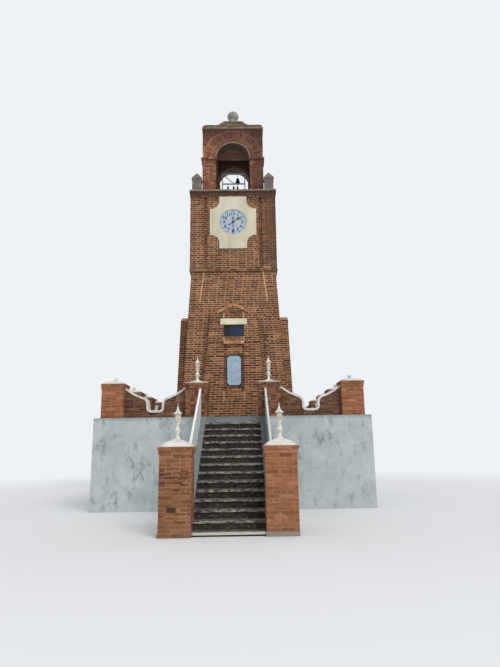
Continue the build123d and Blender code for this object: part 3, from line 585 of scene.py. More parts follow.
    def place(self, point, normal, turn, length, height, proud=None):
        """Note one brick: its middle, its size and its turn."""
        proud = self.sizes.proud if proud is None else proud
        middle = point + normal * (proud - self.sunk) / 2
        self.bricks.append((middle, (length, proud + self.sunk, height), tuple(turn)))

    def taken(self):
        """Hand over the bricks noted so far."""
        bricks, self.bricks = self.bricks, []
        return bricks

    def piece(self, name, material, bricks=None):
        """Turn some bricks, or else all that were noted, into one piece."""
        bricks = bricks or self.taken()
        mesh = bpy.data.meshes.new(name + "_points")
        mesh.from_pydata([tuple(brick[0]) for brick in bricks], [], [])
        for index, title in ((1, "brick_size"), (2, "brick_turn")):
            layer = mesh.attributes.new(title, "FLOAT_VECTOR", "POINT")
            layer.data.foreach_set("vector", [value for brick in bricks for value in brick[index]])
        tree = brick_tree(material, self.sizes.seed)
        grown(name, mesh, tree, {"Tilt": self.sizes.tilt, "Seed": self.sizes.seed})


def layout_tree(name, named):
    """Start a Geometry Nodes tree with named inputs, and return it with what its input node gives."""
    tree = bpy.data.node_groups.new(name, "GeometryNodeTree")
    sockets = tree.interface
    sockets.new_socket("Geometry", in_out="INPUT", socket_type="NodeSocketGeometry")
    for title, value in named.items():
        kind = "NodeSocketInt" if isinstance(value, int) else "NodeSocketFloat"
        sockets.new_socket(title, in_out="INPUT", socket_type=kind).default_value = value
    sockets.new_socket("Geometry", in_out="OUTPUT", socket_type="NodeSocketGeometry")
    return tree, add(tree, "NodeGroupInput").outputs


def end_layout(tree, geometry, material):
    """End a Geometry Nodes tree with real geometry in one material."""
    solid = add(tree, "GeometryNodeRealizeInstances", {0: geometry})
    finished = add(tree, "GeometryNodeSetMaterial", {"Geometry": solid, "Material": material})
    add(tree, "NodeGroupOutput", {"Geometry": finished})


def brick_tree(material, seed):
    """Geometry Nodes that stand a worn brick on every point and give each its own tone."""
    named = {
        "Worn length share": 0.975, "Worn height share": 0.92, "Tilt": 0.006, "Push": 0.0012, "Seed": seed
    }
    tree, given = layout_tree("Lay bricks", named)
    block = add(tree, "GeometryNodeMeshCube", {"Size": (1.0, 1.0, 1.0)})
    # The front corners are drawn in a little, as the arrises of old bricks wear.
    corner = add(tree, "ShaderNodeSeparateXYZ", {0: add(tree, "GeometryNodeInputPosition")}).outputs
    front = add(tree, "FunctionNodeCompare", {"A": corner["Y"], "B": 0.0}, operation="LESS_THAN")
    long = add(tree, "ShaderNodeMath", {0: corner["X"], 1: given["Worn length share"]}, operation="MULTIPLY")
    tall = add(tree, "ShaderNodeMath", {0: corner["Z"], 1: given["Worn height share"]}, operation="MULTIPLY")
    drawn = add(tree, "ShaderNodeCombineXYZ", {"X": long, "Y": corner["Y"], "Z": tall})
    worn = add(tree, "GeometryNodeSetPosition", {"Geometry": block, "Selection": front, "Position": drawn})
    size, turn = [
        add(tree, "GeometryNodeInputNamedAttribute", {"Name": name}, data_type="FLOAT_VECTOR")
        for name in ("brick_size", "brick_turn")
    ]
    limits = {"Min": (-1.0, -1.0, -1.0), "Max": (1.0, 1.0, 1.0), "Seed": given["Seed"]}
    sides = add(tree, "FunctionNodeRandomValue", limits, data_type="FLOAT_VECTOR")
    tilt = add(tree, "ShaderNodeVectorMath", {0: sides, 3: given["Tilt"]}, operation="SCALE")
    turned = add(tree, "ShaderNodeVectorMath", {0: turn, 1: tilt}, operation="ADD")
    rotation = add(tree, "FunctionNodeEulerToRotation", {0: turned})
    laid = add(
        tree, "GeometryNodeInstanceOnPoints",
        {"Points": given["Geometry"], "Instance": worn, "Rotation": rotation, "Scale": size},
    )
    push = add(tree, "ShaderNodeVectorMath", {0: sides, 3: given["Push"]}, operation="SCALE")
    moved = add(tree, "GeometryNodeTranslateInstances", {"Instances": laid, "Translation": push})
    tone = add(tree, "FunctionNodeRandomValue", {"Seed": given["Seed"]}, data_type="FLOAT").outputs[1]
    toned = add(
        tree, "GeometryNodeStoreNamedAttribute", {"Geometry": moved, "Name": "tone", "Value": tone},
        data_type="FLOAT", domain="INSTANCE",
    )
    end_layout(tree, toned, material)
    return tree


def grown(name, mesh, tree, values):
    """Run a Geometry Nodes tree on a mesh and keep the result as a plain piece."""
    carrier = bpy.data.objects.new(name + "_layout", mesh)
    bpy.context.scene.collection.objects.link(carrier)
    modifier = carrier.modifiers.new("Layout", "NODES")
    modifier.node_group = tree
    for item in tree.interface.items_tree:
        if item.item_type == "SOCKET" and item.in_out == "INPUT" and item.name in values:
            modifier[item.identifier] = values[item.name]
    scene_state = bpy.context.evaluated_depsgraph_get()
    result = bpy.data.meshes.new_from_object(carrier.evaluated_get(scene_state), depsgraph=scene_state)
    result.name = name
    carrier.modifiers.clear()
    bpy.data.objects.remove(carrier, do_unlink=True)
    if not len(result.polygons):
        raise RuntimeError(f"{name} came out empty")
    piece_from(name, result, None)


def shaft_split(height):
    """Upright joints beside the flush corner pilasters, which lean by 0.12 in the shaft's top metre."""
    away = 0.95 + 0.12 * (SHAFT_TOP - height)
    return () if height < SHAFT_TOP - 1.0 else (-away, away)


def projection_split(height):
    """Upright joints of the projection, in line with the sides of its window, above its plain foot."""
    return (WINDOW_LOW[0], WINDOW_HIGH[0]) if height > PLATFORM_TOP + 0.55 else ()


# Sizes and colours that a user would change

def length(name, description, default):
    return FloatProperty(name=name, description=description, default=default, unit="LENGTH")


def tint(name, description, code):
    return FloatVectorProperty(
        name=name, description=description, default=linear(code), size=4, subtype="COLOR"
    )


class BrickworkSizes(PropertyGroup):
    course: length("Course", "Height of a brick and its joint", 0.072)
    stretcher: length("Stretcher", "Length of a brick", 0.24)
    header: length("Header", "Width of a brick", 0.116)
    joint: length("Joint", "Width of a mortar joint", 0.016)
    upright_line: length("Upright line", "Width of the pale joints beside pilasters", 0.046)
    proud: length("Proud", "How far brick faces stand before the mortar", 0.006)
    voussoir: length("Arch brick", "Distance between the bricks of an arch ring", 0.082)
    tilt: FloatProperty(
        name="Tilt", description="How far bricks are laid out of true", default=0.006, unit="ROTATION"
    )
    seed: IntProperty(name="Seed", description="Picks the tone and tilt of each brick", default=7)


class ClockSizes(PropertyGroup):
    numeral_height: length("Numeral height", "Height of the dial's numbers", 0.108)
    numeral_radius: length("Numeral radius", "Distance of the numbers from the centre", 0.296)
    track_radius: length("Track radius", "Distance of the minute marks from the centre", 0.398)
    mark_length: length("Mark length", "Length of a minute mark", 0.02)
    dot: length("Hour dot", "Width of the dot at each hour", 0.04)
    ink: tint("Ink", "Colour of numbers, marks and hands", "#10172b")


class StageLight(PropertyGroup):
    key: FloatProperty(name="Key light", description="Strength of the main light", default=1.5)
    fill: FloatProperty(name="Fill light", description="Strength of the light all round", default=0.85)
    floor: tint("Floor", "Colour of the floor", "#d9dadb")
    backdrop: tint("Backdrop", "Colour behind the tower", "#eef1f5")
    lens: FloatProperty(
        name="Lens", description="Focal length for a sensor 36 mm wide", default=36.5, unit="CAMERA"
    )


# Operators

class LayTowerBricks(Operator):
    """Lay the bricks of the shaft, its projections and the clock stage on their mortar beds"""
    bl_idname = "clock_tower.lay_tower_bricks"
    bl_label = "Tower brickwork"

    def execute(self, context):
        mason = Mason(context.scene.brickwork_sizes)
        brick = tower_brick()
        shaft = ("shaft_front_wall", "shaft_back_wall", "shaft_side_walls")
        projections = ("front_projection", "other_projections")
        stage = ("clock_stage_front_wall", "clock_stage_back_wall", "clock_stage_side_walls")
        mason.lay(shaft, "english", split=shaft_split, beside=projections)
        mason.piece("shaft_bricks", brick)
        trims = ("plaque_frame", "projection_trims")
        mason.lay(projections, "stretcher", split=projection_split, beside=trims)
        mason.piece("projection_bricks", brick)
        mason.lay(stage + ("ledge_course",), "english", beside=("clock_panel",))
        mason.lay(("clock_cornice",), "headers")
        mason.piece("clock_stage_bricks", brick)
        # Lime and sand mortar, buff where it is clean and grey brown where rain has soaked it, darkened in
        # the cornice by soot and painted shade, with painted shade on its undersides.
        washes = [
            (UP, CLOCK_TOP - 0.2, CLOCK_TOP + 0.1, "#38231a", 0.88),
            (DAMP_CORNER, 0.25, -0.05, "#6b432d", 0.65),
        ]
        bed = mineral(
            "Buff lime mortar", "#cda480", "#ad8763", "#5b4735", 0.6, 500, 6, 0.003, streak=2.0,
            underside_shading=("#2a1b13", 0.9), washes=washes,
        )
        paint(bed, *shaft, *projections, *stage, "ledge_course", "clock_cornice", "projection_trims")
        return {"FINISHED"}


class LayBelfryBricks(Operator):
    """Lay the piers, arches and stepped roof of the belfry, with rings of bricks round the arches"""
    bl_idname = "clock_tower.lay_belfry_bricks"
    bl_label = "Belfry brickwork"

    # Radii of the ring of bricks on edge, and of the render that lines each arch inside it.
    ring_low, ring_high = 0.76, 1.015
    smooth_low, smooth_high = BELFRY_INNER - 0.009, 0.745

    def execute(self, context):
        mason = Mason(context.scene.brickwork_sizes)
        walls = ("belfry_front_and_back_arches", "belfry_side_arches")
        mason.mask = self.in_ring
        mason.lay(("belfry_piers",), "headers")
        mason.lay(
            walls, "stretcher", keep=lambda plane, low, high: abs(plane["offset"]) > BELFRY_INNER - 0.01
        )
        mason.mask = None
        outer, inner = [], []
        for brick in mason.taken():
            away = max(abs(brick[0].x), abs(brick[0].y))
            (outer if away > BELFRY_HALF - 0.05 else inner).append(brick)
        self.arch_bricks(mason, mason.sizes.voussoir)
        mason.piece("belfry_bricks", belfry_brick(), outer + mason.taken())
        # The same brick on the inner faces, darker with soot where rain never washes it and with painted
        # shade.
        mason.piece("belfry_inner_bricks", belfry_brick("Sooty shade-painted brick in the belfry", 0.55), inner)
        self.smooth_rings()
        # The roof's lowest step has no bricks.
        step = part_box("belfry_roof_slab")[1][2] + mason.sizes.course
        mason.lay(("stepped_roof",), "stretcher", keep=lambda plane, low, high: low > step)
        mason.piece("roof_bricks", roof_brick())
        # Mortar between the belfry's bricks, darker than below because it stays damp, with soot and painted
        # shade under the roof slab and inside the belfry.
        washes = [*belfry_washes("#4f3324"), ("span", BELFRY_HALF - 0.04, BELFRY_HALF - 0.1, "#33261e", 0.6)]
        bed = mineral(
            "Damp lime mortar", "#ba8e70", "#8f6749", "#452f23", 0.7, 400, 6, 0.003, streak=2.0,
            underside_shading=("#2a1b13", 0.9), washes=washes,
        )
        paint(bed, "belfry_piers", *walls)
        # The roof's bed and joints, black green with moss.
        bed = mineral(
            "Mossy roof mortar", "#6f6450", "#4a4535", "#26281a", 0.8, 200, 8, 0.004, top=("#464a2c", 0.8)
        )
        paint(bed, "stepped_roof")
        # Bare cement of the two slabs and the beam under the roof, pale at the edges and mouldy on top.
        # Inside the belfry the beam and the ceiling have been limewashed; they and the slabs' faces that look
        # down are painted paler still, as painted light for the light that bounces in.
        inside = (Vector((0, 0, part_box("belfry_roof_slab")[0][2])), (BELFRY_INNER, BELFRY_INNER, 0.3))
        slab = mineral(
            "Bare cement slab", "#9c8d7a", "#6f6252", "#2c271e", 0.8, 200, 8, 0.004, streak=3.0,
            top=("#3f4429", 0.8), underside_shading=("#bb9d7c", 0.9), washes=[(inside, 0.03, 0.0, "#bb9d7c", 0.85)],
        )
        paint(slab, "belfry_slab", "belfry_roof_slab")
        return {"FINISHED"}

    def in_ring(self, point, normal):
        """True where an arch ring, with a joint of 12 mm round it, takes the place of level courses."""
        outward = point.dot(normal) > BELFRY_HALF - 0.02
        across = point.dot(UP.cross(normal))
        rise = point.z - ARCH_SPRING
        return outward and rise > 0 and math.hypot(across, rise) < self.ring_high + 0.012

    def spoke(self, side, angle):
        """The directions outward and across at an angle round an arch, on one side of the belfry."""
        along = side @ Vector((1, 0, 0))
        sine, cosine = math.sin(angle), math.cos(angle)
        return along * cosine + UP * sine, along * sine - UP * cosine

    def arch_bricks(self, mason, pitch):
        """Stand the bricks of an arch on edge round each opening, with joints of 18 mm."""
        middle = (self.ring_low + self.ring_high) / 2
        count = round(math.pi * middle / pitch)
        for index in range(count):
            for face, side in quarter_turns(FRONT):
                radial, across = self.spoke(side, math.pi * (index + 0.5) / count)
                turn = Matrix((across, -face, radial)).transposed().to_euler()
                point = face * BELFRY_HALF + radial * middle + UP * ARCH_SPRING
                mason.place(point, face, turn, pitch - 0.018, self.ring_high - self.ring_low, proud=0.005)

    def smooth_rings(self):
        """Rendered rings that line the arches, with a pale edge at the opening."""
        # Thin brown cement render, rubbed smooth over the inner ring of bricks.
        render = mineral(
            "Brown cement render", "#7d5a45", "#614433", "#3a271d", 0.5, 240, 7, 0.002,
            washes=belfry_washes("#3a251a"),
        )
        # Limewash on its edge, darkened on the arch's inner face with soot and painted shade.
        edge = mineral(
            "Limewashed arch edge", "#a58a74", "#866b56", "#543e2f", 0.6, 160, 7, 0.002,
            washes=[("span", BELFRY_HALF - 0.005, BELFRY_HALF - 0.03, "#35261d", 0.85)],
        )
        lip = self.smooth_low + 0.022
        self.ring("arch_rings", lip, self.smooth_high, 0.009, render)
        self.ring("arch_edges", self.smooth_low, lip, 0.012, edge)

    def ring(self, name, inner, outer, proud, material):
        """One half ring on each of the four sides, ending 10 mm short of the wall's inner face."""
        steps = 40
        depth = BELFRY_HALF - BELFRY_INNER - 0.01
        corners = ((inner, proud), (outer, proud), (outer, -depth), (inner, -depth))
        forms = []
        for face, side in quarter_turns(FRONT):
            spokes = [self.spoke(side, math.pi * index / steps)[0] for index in range(steps + 1)]
            centre = UP * ARCH_SPRING
            forms.append([
                [face * (BELFRY_HALF + reach) + radial * radius + centre for radius, reach in corners]
                for radial in spokes
            ])
        formed(name, forms, material)


class LayPillarBricks(Operator):
    """Lay the bricks of the gate pillars, the head pillars and the parapet"""
    bl_idname = "clock_tower.lay_pillar_bricks"
    bl_label = "Pillar and parapet brickwork"

    def execute(self, context):
        mason = Mason(context.scene.brickwork_sizes)
        # The left gate pillar has lost bricks in a few spots (x, z and reach) and mortar along a few joints
        # (x, z and half length). Its two projecting courses stand 30 mm before its face.
        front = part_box("gate_pillars")[0][1] + 0.03
        holes = ((-1.036, 0.47, 0.08), (-1.264, 0.37, 0.06), (-0.8, 1.13, 0.05), (-1.24, 1.12, 0.045))
        worn = [(x, front, z, reach) for x, z, reach in holes]
        joints = (
            (-1.15, 1.09, 0.1), (-0.97, 0.935, 0.13), (-1.21, 0.94, 0.06), (-0.8, 0.9, 0.07),
            (-0.82, 1.01, 0.08), (-1.06, 1.02, 0.08), (-0.95, 0.81, 0.05),
        )
        cracks = [(((x, front, z), (half, 0.1, 0.003)), 0.022, 0.0, "#2f1a10", 0.85) for x, z, half in joints]
        # The darker brick is the same brick in painted shade.
        bright, dark = pillar_brick(cracks), shaded_brick()
        mason.lay(("gate_pillars",), "stretcher", worn=worn)
        # The right pillar's foot has been cased in cement, and has no bricks to show.
        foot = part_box("gate_pillars")[0][2] + 0.11
        laid = [brick for brick in mason.taken() if brick[0].x < 0 or brick[0].z > foot]
        mason.piece("gate_pillar_bricks", bright, laid)
        mason.lay(("parapet_pillars",), "stretcher")
        mason.piece("corner_pillar_bricks", bright)
        mason.lay(("head_pillars",), "stretcher")
        mason.lay(("parapet_walls",), "stretcher", beside=("parapet_copings",))
        mason.piece("parapet_bricks", dark)
        # Brown mortar of the pillars, close to the bricks in tone, grey with cement at the right foot.
        washes = [(((0.89, front, 0.0), (0.4, 1.0, 0.1)), 0.03, 0.0, "#8b8177", 0.9)]
        # Where bricks are lost, the mortar is painted dark as the shade in the holes.
        washes += [(((x, y, z), (reach, 0.1, 0.04)), 0.04, 0.0, "#2f1a10", 0.9) for x, y, z, reach in worn]
        washes += cracks
        bed = mineral(
            "Brown lime mortar", "#b18661", "#90683f", "#49311f", 0.6, 300, 6, 0.003, streak=2.0,
            washes=washes,
        )
        paint(bed, "gate_pillars", "parapet_pillars")
        # The same mortar in a darker copy, painted shade of the trees.
        bed = mineral("Tree-shaded pillar mortar", "#8b6c52", "#684b36", "#3c291c", 0.6, 300, 6, 0.003, streak=2.0)
        paint(bed, "head_pillars", "parapet_walls")
        return {"FINISHED"}


class LayTrimBricks(Operator):
    """Lay the raking bricks of the gables and the bricks of the string courses"""
    bl_idname = "clock_tower.lay_trim_bricks"
    bl_label = "Gables and string courses"

    # Distance between the bricks of a gable's upper edge, and their height.
    rim_pitch, rim_height = 0.068, 0.082

    def execute(self, context):
        mason = Mason(context.scene.brickwork_sizes)
        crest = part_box("projection_trims")[1][2]
        mason.lay(
            ("projection_trims",), "stretcher",
            keep=lambda plane, low, high: high > crest - 0.02 and abs(plane["normal"].z) < 0.02,
        )
        mason.piece("gable_infill_bricks", tower_brick())
        mason.lay(("projection_trims",), "headers", keep=lambda plane, low, high: high < crest - 0.5)
        gables = [
            plane for plane in wall_planes(("projection_trims",))
            if plane["normal"].y < -0.99 and max(point.z for point in plane["points"]) > crest - 0.02
        ]
        corners = sorted({(round(point.x, 3), round(point.z, 3)) for point in gables[0]["points"]})
        for start, stop in zip(corners, corners[1:]):
            self.rim(mason, start, stop, -gables[0]["offset"])
        mason.piece("gable_and_string_bricks", moulded_brick())
        return {"FINISHED"}

    def rim(self, mason, start, stop, front):
        """Stand bricks side by side along one stretch of the gables' upper edges, 20 mm before the wall."""
        start, stop = Vector((start[0], 0, start[1])), Vector((stop[0], 0, stop[1]))
        slope = (stop - start).normalized()
        above = Vector((-slope.z, 0, slope.x))
        count = max(1, round((stop - start).length / self.rim_pitch))
        for index in range(count):
            centre = start.lerp(stop, (index + 0.5) / count) - above * (self.rim_height / 2 - 0.008)
            centre.y = front
            for face, side in quarter_turns(FRONT):
                turn = Matrix((side @ slope, -face, side @ above)).transposed().to_euler()
                mason.place(side @ centre, face, turn, self.rim_pitch - 0.013, self.rim_height, proud=0.02)


class FinishRenderedWork(Operator):
    """Finish the platform, the stair, the caps, the copings and the plaster"""
    bl_idname = "clock_tower.finish_rendered_work"
    bl_label = "Render, caps and plaster"

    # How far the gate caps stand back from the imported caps' edge.
    cap_setback = 0.034

    def execute(self, context):
        # Limewashed cement render of the platform, blotched grey where the wash has gone.
        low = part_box("platform_plinth")[0]
        washes = [
            (UP, PLATFORM_TOP - 0.1, PLATFORM_TOP - 0.02, "#5f655c", 0.4),
            (((0, low[1], PLATFORM_TOP), (0.7, 0.3, 0.15)), 0.1, 0.0, "#4f5550", 0.55),
        ]
        render = mineral(
            "Limewashed platform render", "#b7bfc2", "#a4abac", "#565c53", 0.55, 420, 10, 0.003, streak=2.0,
            edge=(0.54, 0.68), washes=washes,
        )
        paint(render, "platform_plinth")
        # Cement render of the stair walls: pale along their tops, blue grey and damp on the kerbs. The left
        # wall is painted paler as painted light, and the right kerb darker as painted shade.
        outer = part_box("stair_walls")[1][0]
        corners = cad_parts["stair_walls"].data.vertices
        crest = max(Vector(STAIR_NORMAL).dot(vertex.co) for vertex in corners)
        washes = [
            (STAIR_NORMAL, crest - 0.10, crest - 0.03, "#d3d4d0", 0.6),
            # Painted light on the left wall.
            ((-1, 0, 0), outer - 0.0535, outer - 0.0515, "#e9ece6", 0.7),
            ("side", outer - 0.053, outer - 0.058, "#5c676c", 0.75),
            # Painted shade on the right kerb.
            (((outer - 0.12, -5.0, 1.5), (0.065, 3.0, 2.0)), 0.01, 0.0, "#4b555a", 0.5),
        ]
        render = mineral(
            "Grey stair wall render", "#bfc3bf", "#9aa09e", "#4b534f", 0.6, 260, 9, 0.003, streak=4.0,
            washes=washes,
        )
        paint(render, "stair_walls")
        # Risers are cast with pebbles, black with moss, and darkened further by painted shade under the
        # nosings.
        riser = mineral(
            "Mossy pebbled riser in painted shade", "#3b382f", "#1c1a15", "#857e70", 0.75, 90, 14, 0.01, edge=(0.57, 0.66)
        )
        paint(riser, "stair_core")
        # Treads of dark cement wear pale along their edges.
        kerb = -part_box("stair_treads")[0][1]
        tread = mineral(
            "Worn cement tread", "#b2ac9e", "#7f7a6e", "#2a2923", 0.9, 260, 12, 0.006, streak=0.3,
            edge=(0.44, 0.56), washes=[(FRONT, kerb - 0.12, kerb - 0.06, "#cfc8b8", 0.75)],
            top=("#45453d", 0.95),
        )
        paint(tread, "stair_treads")
        # White painted cement caps and copings, stained where water stands, with painted shade on their
        # undersides.
        cement = mineral(
            "White painted cement", "#dddad3", "#c6c4bf", "#7f766c", 0.5, 260, 8, 0.002, streak=2.0,
            underside_shading=("#6b5f55", 0.7),
        )
        paint(cement, "head_pillar_caps", "parapet_pillar_caps", "parapet_copings")
        self.gate_caps(cement)
        # Cream lime plaster round the clock and over the window, greenish where rain runs.
        plaster = mineral(
            "Cream lime plaster", "#d0cab6", "#c0b9a2", "#97967a", 0.4, 600, 8, 0.0015, streak=3.0
        )
        paint(plaster, "clock_panel")
        plaster = mineral("Cream plaster beam", "#ded8c2", "#ccc3a6", "#a59c80", 0.3, 300, 8, 0.0015)
        paint(plaster, "window_lintel")
        return {"FINISHED"}

    def gate_caps(self, cement):
        """Cast the two gate caps: nearly straight slopes, set back from the bricks under them."""
        low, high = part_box("gate_pillar_caps")
        half = (high[1] - low[1]) / 2
        middle = (low[1] + high[1]) / 2
        edge = half - self.cap_setback
        # Half width and height of each line round a cap, up to the flat under the lamp's foot.
        lines = [
            (half - 0.004, 0.0), (edge + 0.004, 0.008), (edge, 0.024), (edge - 0.014, 0.036), (0.2, 0.082),
            (0.12, 0.109), (0.075, high[2] - low[2]),
        ]
        corners = ((-1, -1), (1, -1), (1, 1), (-1, 1))
        forms = [
            [
                [(side + across * reach, middle + deep * reach, low[2] + level) for across, deep in corners]
                for reach, level in lines
            ]
            for side in (low[0] + half, high[0] - half)
        ]
        caps = formed("gate_caps", forms, cement)
        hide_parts("gate_pillar_caps")


class CarveStone(Operator):
    """Carve the lobed bud on the roof and finish the pinnacles"""
    bl_idname = "clock_tower.carve_stone"
    bl_label = "Finial and pinnacles"

    lobes, columns = 10, 80

    def execute(self, context):
        low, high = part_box("roof_finial")
        # The bud is rounder than its packed block, so its crown sits a little lower.
        height = 0.91 * (high[2] - low[2])
        radius = 1.05 * (high[0] - low[0]) / 2
        turns = [2 * math.pi * column / self.columns for column in range(self.columns)]
        rows = []
        for reach, level, depth in self.profile(height, radius):
            row = []
            for turn in turns:
                swell = 1.0 - depth * (1.0 - abs(math.cos(self.lobes * turn / 2)))
                out = max(reach * swell, 0.004)
                row.append((out * math.cos(turn), out * math.sin(turn), low[2] + level))
            rows.append(row)
        # Grey volcanic stone, cut by hand, with yellow green lichen on the upper sides.
        stone = mineral(
            "Lichened carved stone", "#a9a89c", "#77776e", "#3f3e36", 0.55, 90, 9, 0.006, top=("#93914f", 0.7)
        )
        bud = formed("lobed_bud", [rows], stone, smooth=True)
        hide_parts("roof_finial")
        # The same stone on the pinnacles, browner and with less lichen.
        stone = mineral(
            "Grey carved stone", "#7d716c", "#665b55", "#322c25", 0.6, 160, 9, 0.004, top=("#4c4a30", 0.7)
        )
        paint(stone, "corner_pinnacles")
        return {"FINISHED"}

    def profile(self, height, radius):
        """Return (reach, level, lobe depth) rows: flared foot, neck and ball."""
        foot, neck = 0.92 * radius, 0.63 * radius
        waist, ball = 0.30 * height, 0.46 * height
        rows = [(foot, 0.0, 0.0), (foot, 0.085 * height, 0.0)]
        for step in range(1, 7):
            share = step / 6
            reach = neck + (foot - neck) * (1 - math.sin(share * math.pi / 2))
            rows.append((reach, 0.085 * height + (waist - 0.085 * height) * share, 0.0))
        rows.append((neck, ball, 0.0))
        start = math.asin(neck / radius)
        for step in range(1, 21):
            angle = start + (math.pi - start) * step / 20
            fall = (math.cos(start) - math.cos(angle)) / (math.cos(start) + 1.0)
            reach = radius * math.sin(angle) ** 0.9
            rows.append((reach, ball + (height - ball) * fall, 0.11 * math.sin(angle)))
        return rows


class FitClock(Operator):
    """Paint the dial, its numbers, its minute marks and its hands"""
    bl_idname = "clock_tower.fit_clock"
    bl_label = "Clock"

    def execute(self, context):
        sizes = context.scene.clock_sizes
        # Fired enamel on a metal dial, pale blue white and a little milky.
        paint(coated("Pale dial enamel", "#a3b2be", "#8b9ba8", 0.32, wear=0.5, patch_mm=200), "clock_dial")
        # Dark blue gloss paint of the hands and numbers.
        ink = coated("Dark blue gloss paint", sizes.ink, "#1b2541", 0.4)
        paint(ink, "hour_hand", "minute_hand")
        # Zinc plated steel of the arbor.
        paint(coated("Zinc plated steel", "#3a3f49", "#6c7076", 0.4, metallic=0.9), "clock_arbor")
        # The dial is 16 mm thick behind its rim, and the marks sink 1 mm into it.
        low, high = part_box("clock_dial")
        face = Vector((0.0, high[1] - 0.015, (low[2] + high[2]) / 2))
        joined = bmesh.new()
        for hour in range(1, 13):
            shape = self.number(hour, sizes, face)
            joined.from_mesh(shape)
            bpy.data.meshes.remove(shape)
        numbers = bpy.data.meshes.new("dial_numbers")
        joined.to_mesh(numbers)
        joined.free()
        piece_from("dial_numbers", numbers, ink)
        self.minute_marks(sizes, face, ink)
        return {"FINISHED"}

    def number(self, hour, sizes, face):
        """The mesh of one plain upright number, centred on its place."""
        words = bpy.data.curves.new(f"number_{hour}", "FONT")
        words.body = str(hour)
        # A digit is about 0.7 of its font's size high.
        words.size = sizes.numeral_height * 1.42
        # The bevel gives the strokes their weight and keeps the holes of the 4, 6, 8 and 9 open.
        words.extrude = 0.0005
        words.bevel_depth = 0.0042
        words.bevel_resolution = 0
        words.resolution_u = 5
        holder = bpy.data.objects.new(f"number_{hour}", words)
        bpy.context.scene.collection.objects.link(holder)
        bpy.context.view_layer.update()
        shape = bpy.data.meshes.new_from_object(holder.evaluated_get(bpy.context.evaluated_depsgraph_get()))
        bpy.data.objects.remove(holder, do_unlink=True)
        across = [vertex.co.x for vertex in shape.vertices]
        upright = [vertex.co.y for vertex in shape.vertices]
        centre = Vector((min(across) + max(across), min(upright) + max(upright), 0)) / 2
        angle = math.radians(30 * hour)
        spot = Vector((math.sin(angle), 0, math.cos(angle))) * sizes.numeral_radius
        place = Matrix.Translation(face + spot) @ Matrix.Rotation(math.pi / 2, 4, "X")
        shape.transform(place @ Matrix.Translation(-centre))
        return shape

    def minute_marks(self, sizes, face, ink):
        """Sixty thin marks in a ring with a round dot at every hour."""
        values = {
            "Track radius": sizes.track_radius, "Mark length": sizes.mark_length, "Dot width": sizes.dot
        }
        tree, given = layout_tree("Ring of minute marks", values)
        # A mark is 4.5 mm wide and as long as its input says; a dot is as wide as it is long.
        bar = add(tree, "GeometryNodeMeshCube", {"Size": (1.0, 1.0, 1.0)})
        disc = add(tree, "GeometryNodeMeshCylinder", {"Vertices": 14, "Radius": 0.5, "Depth": 1.0})
        both = add(tree, "GeometryNodeJoinGeometry")
        for count, shape, long, wide in (
            (60, bar, given["Mark length"], 0.0045),
            (12, disc, given["Dot width"], given["Dot width"]),
        ):
            circle = {"Resolution": count, "Radius": given["Track radius"]}
            circle = add(tree, "GeometryNodeCurvePrimitiveCircle", circle)
            spots = add(tree, "GeometryNodeCurveToPoints", {"Curve": circle}, mode="EVALUATED")
            size = add(tree, "ShaderNodeCombineXYZ", {"X": long, "Y": wide, "Z": 0.005})
            here = add(tree, "GeometryNodeInputPosition")
            outward = add(tree, "ShaderNodeVectorMath", {0: here}, operation="NORMALIZE")
            rotation = add(
                tree, "FunctionNodeAlignRotationToVector", {"Vector": outward}, axis="X", pivot_axis="Z"
            )
            laid = add(
                tree, "GeometryNodeInstanceOnPoints",
                {"Points": spots, "Instance": shape, "Rotation": rotation, "Scale": size},
            )
            tree.links.new(laid.outputs[0], both.inputs[0])
        upright = {"Geometry": both, "Translation": tuple(face), "Rotation": (math.pi / 2, 0, 0)}
        end_layout(tree, add(tree, "GeometryNodeTransform", upright), ink)
        start = bpy.data.meshes.new("minute_marks_start")
        start.from_pydata([tuple(face)], [], [])
        grown("minute_marks", start, tree, values)


class FitWindowAndPlaque(Operator):
    """Finish the window and the bare plaque below it"""
    bl_idname = "clock_tower.fit_window_and_plaque"
    bl_label = "Window and plaque"

    def execute(self, context):
        # Dark blue paint of the frame, dull with age.
        paint(coated("Dark blue window paint", "#141b25", "#212b39", 0.5), "window_frame")
        # Glass with painted shade and a painted reflection: dark for the unlit room behind, deep blue for the
        # sky it mirrors, darker to the left.
        washes = [((-1, 0, 0), 0.0, 0.2, "#0f1618", 0.85)]
        paint(pane("Window glass with painted reflection", "#0f2238", "#173355", 0.12, washes), "window_glass")
        # Polished pale marble with faint bluish veins, left without words.
        marble = mineral(
            "Pale veined marble", "#a7bbcb", "#8fa4b5", "#7b91a4", 0.4, 140, 30, 0.0004, roughness=0.35
        )
        paint(marble, "plaque")
        # Black lacquer with a soft gloss.
        paint(coated("Black backing lacquer", "#17181b", "#2c2d30", 0.35), "plaque_frame")
        return {"FINISHED"}


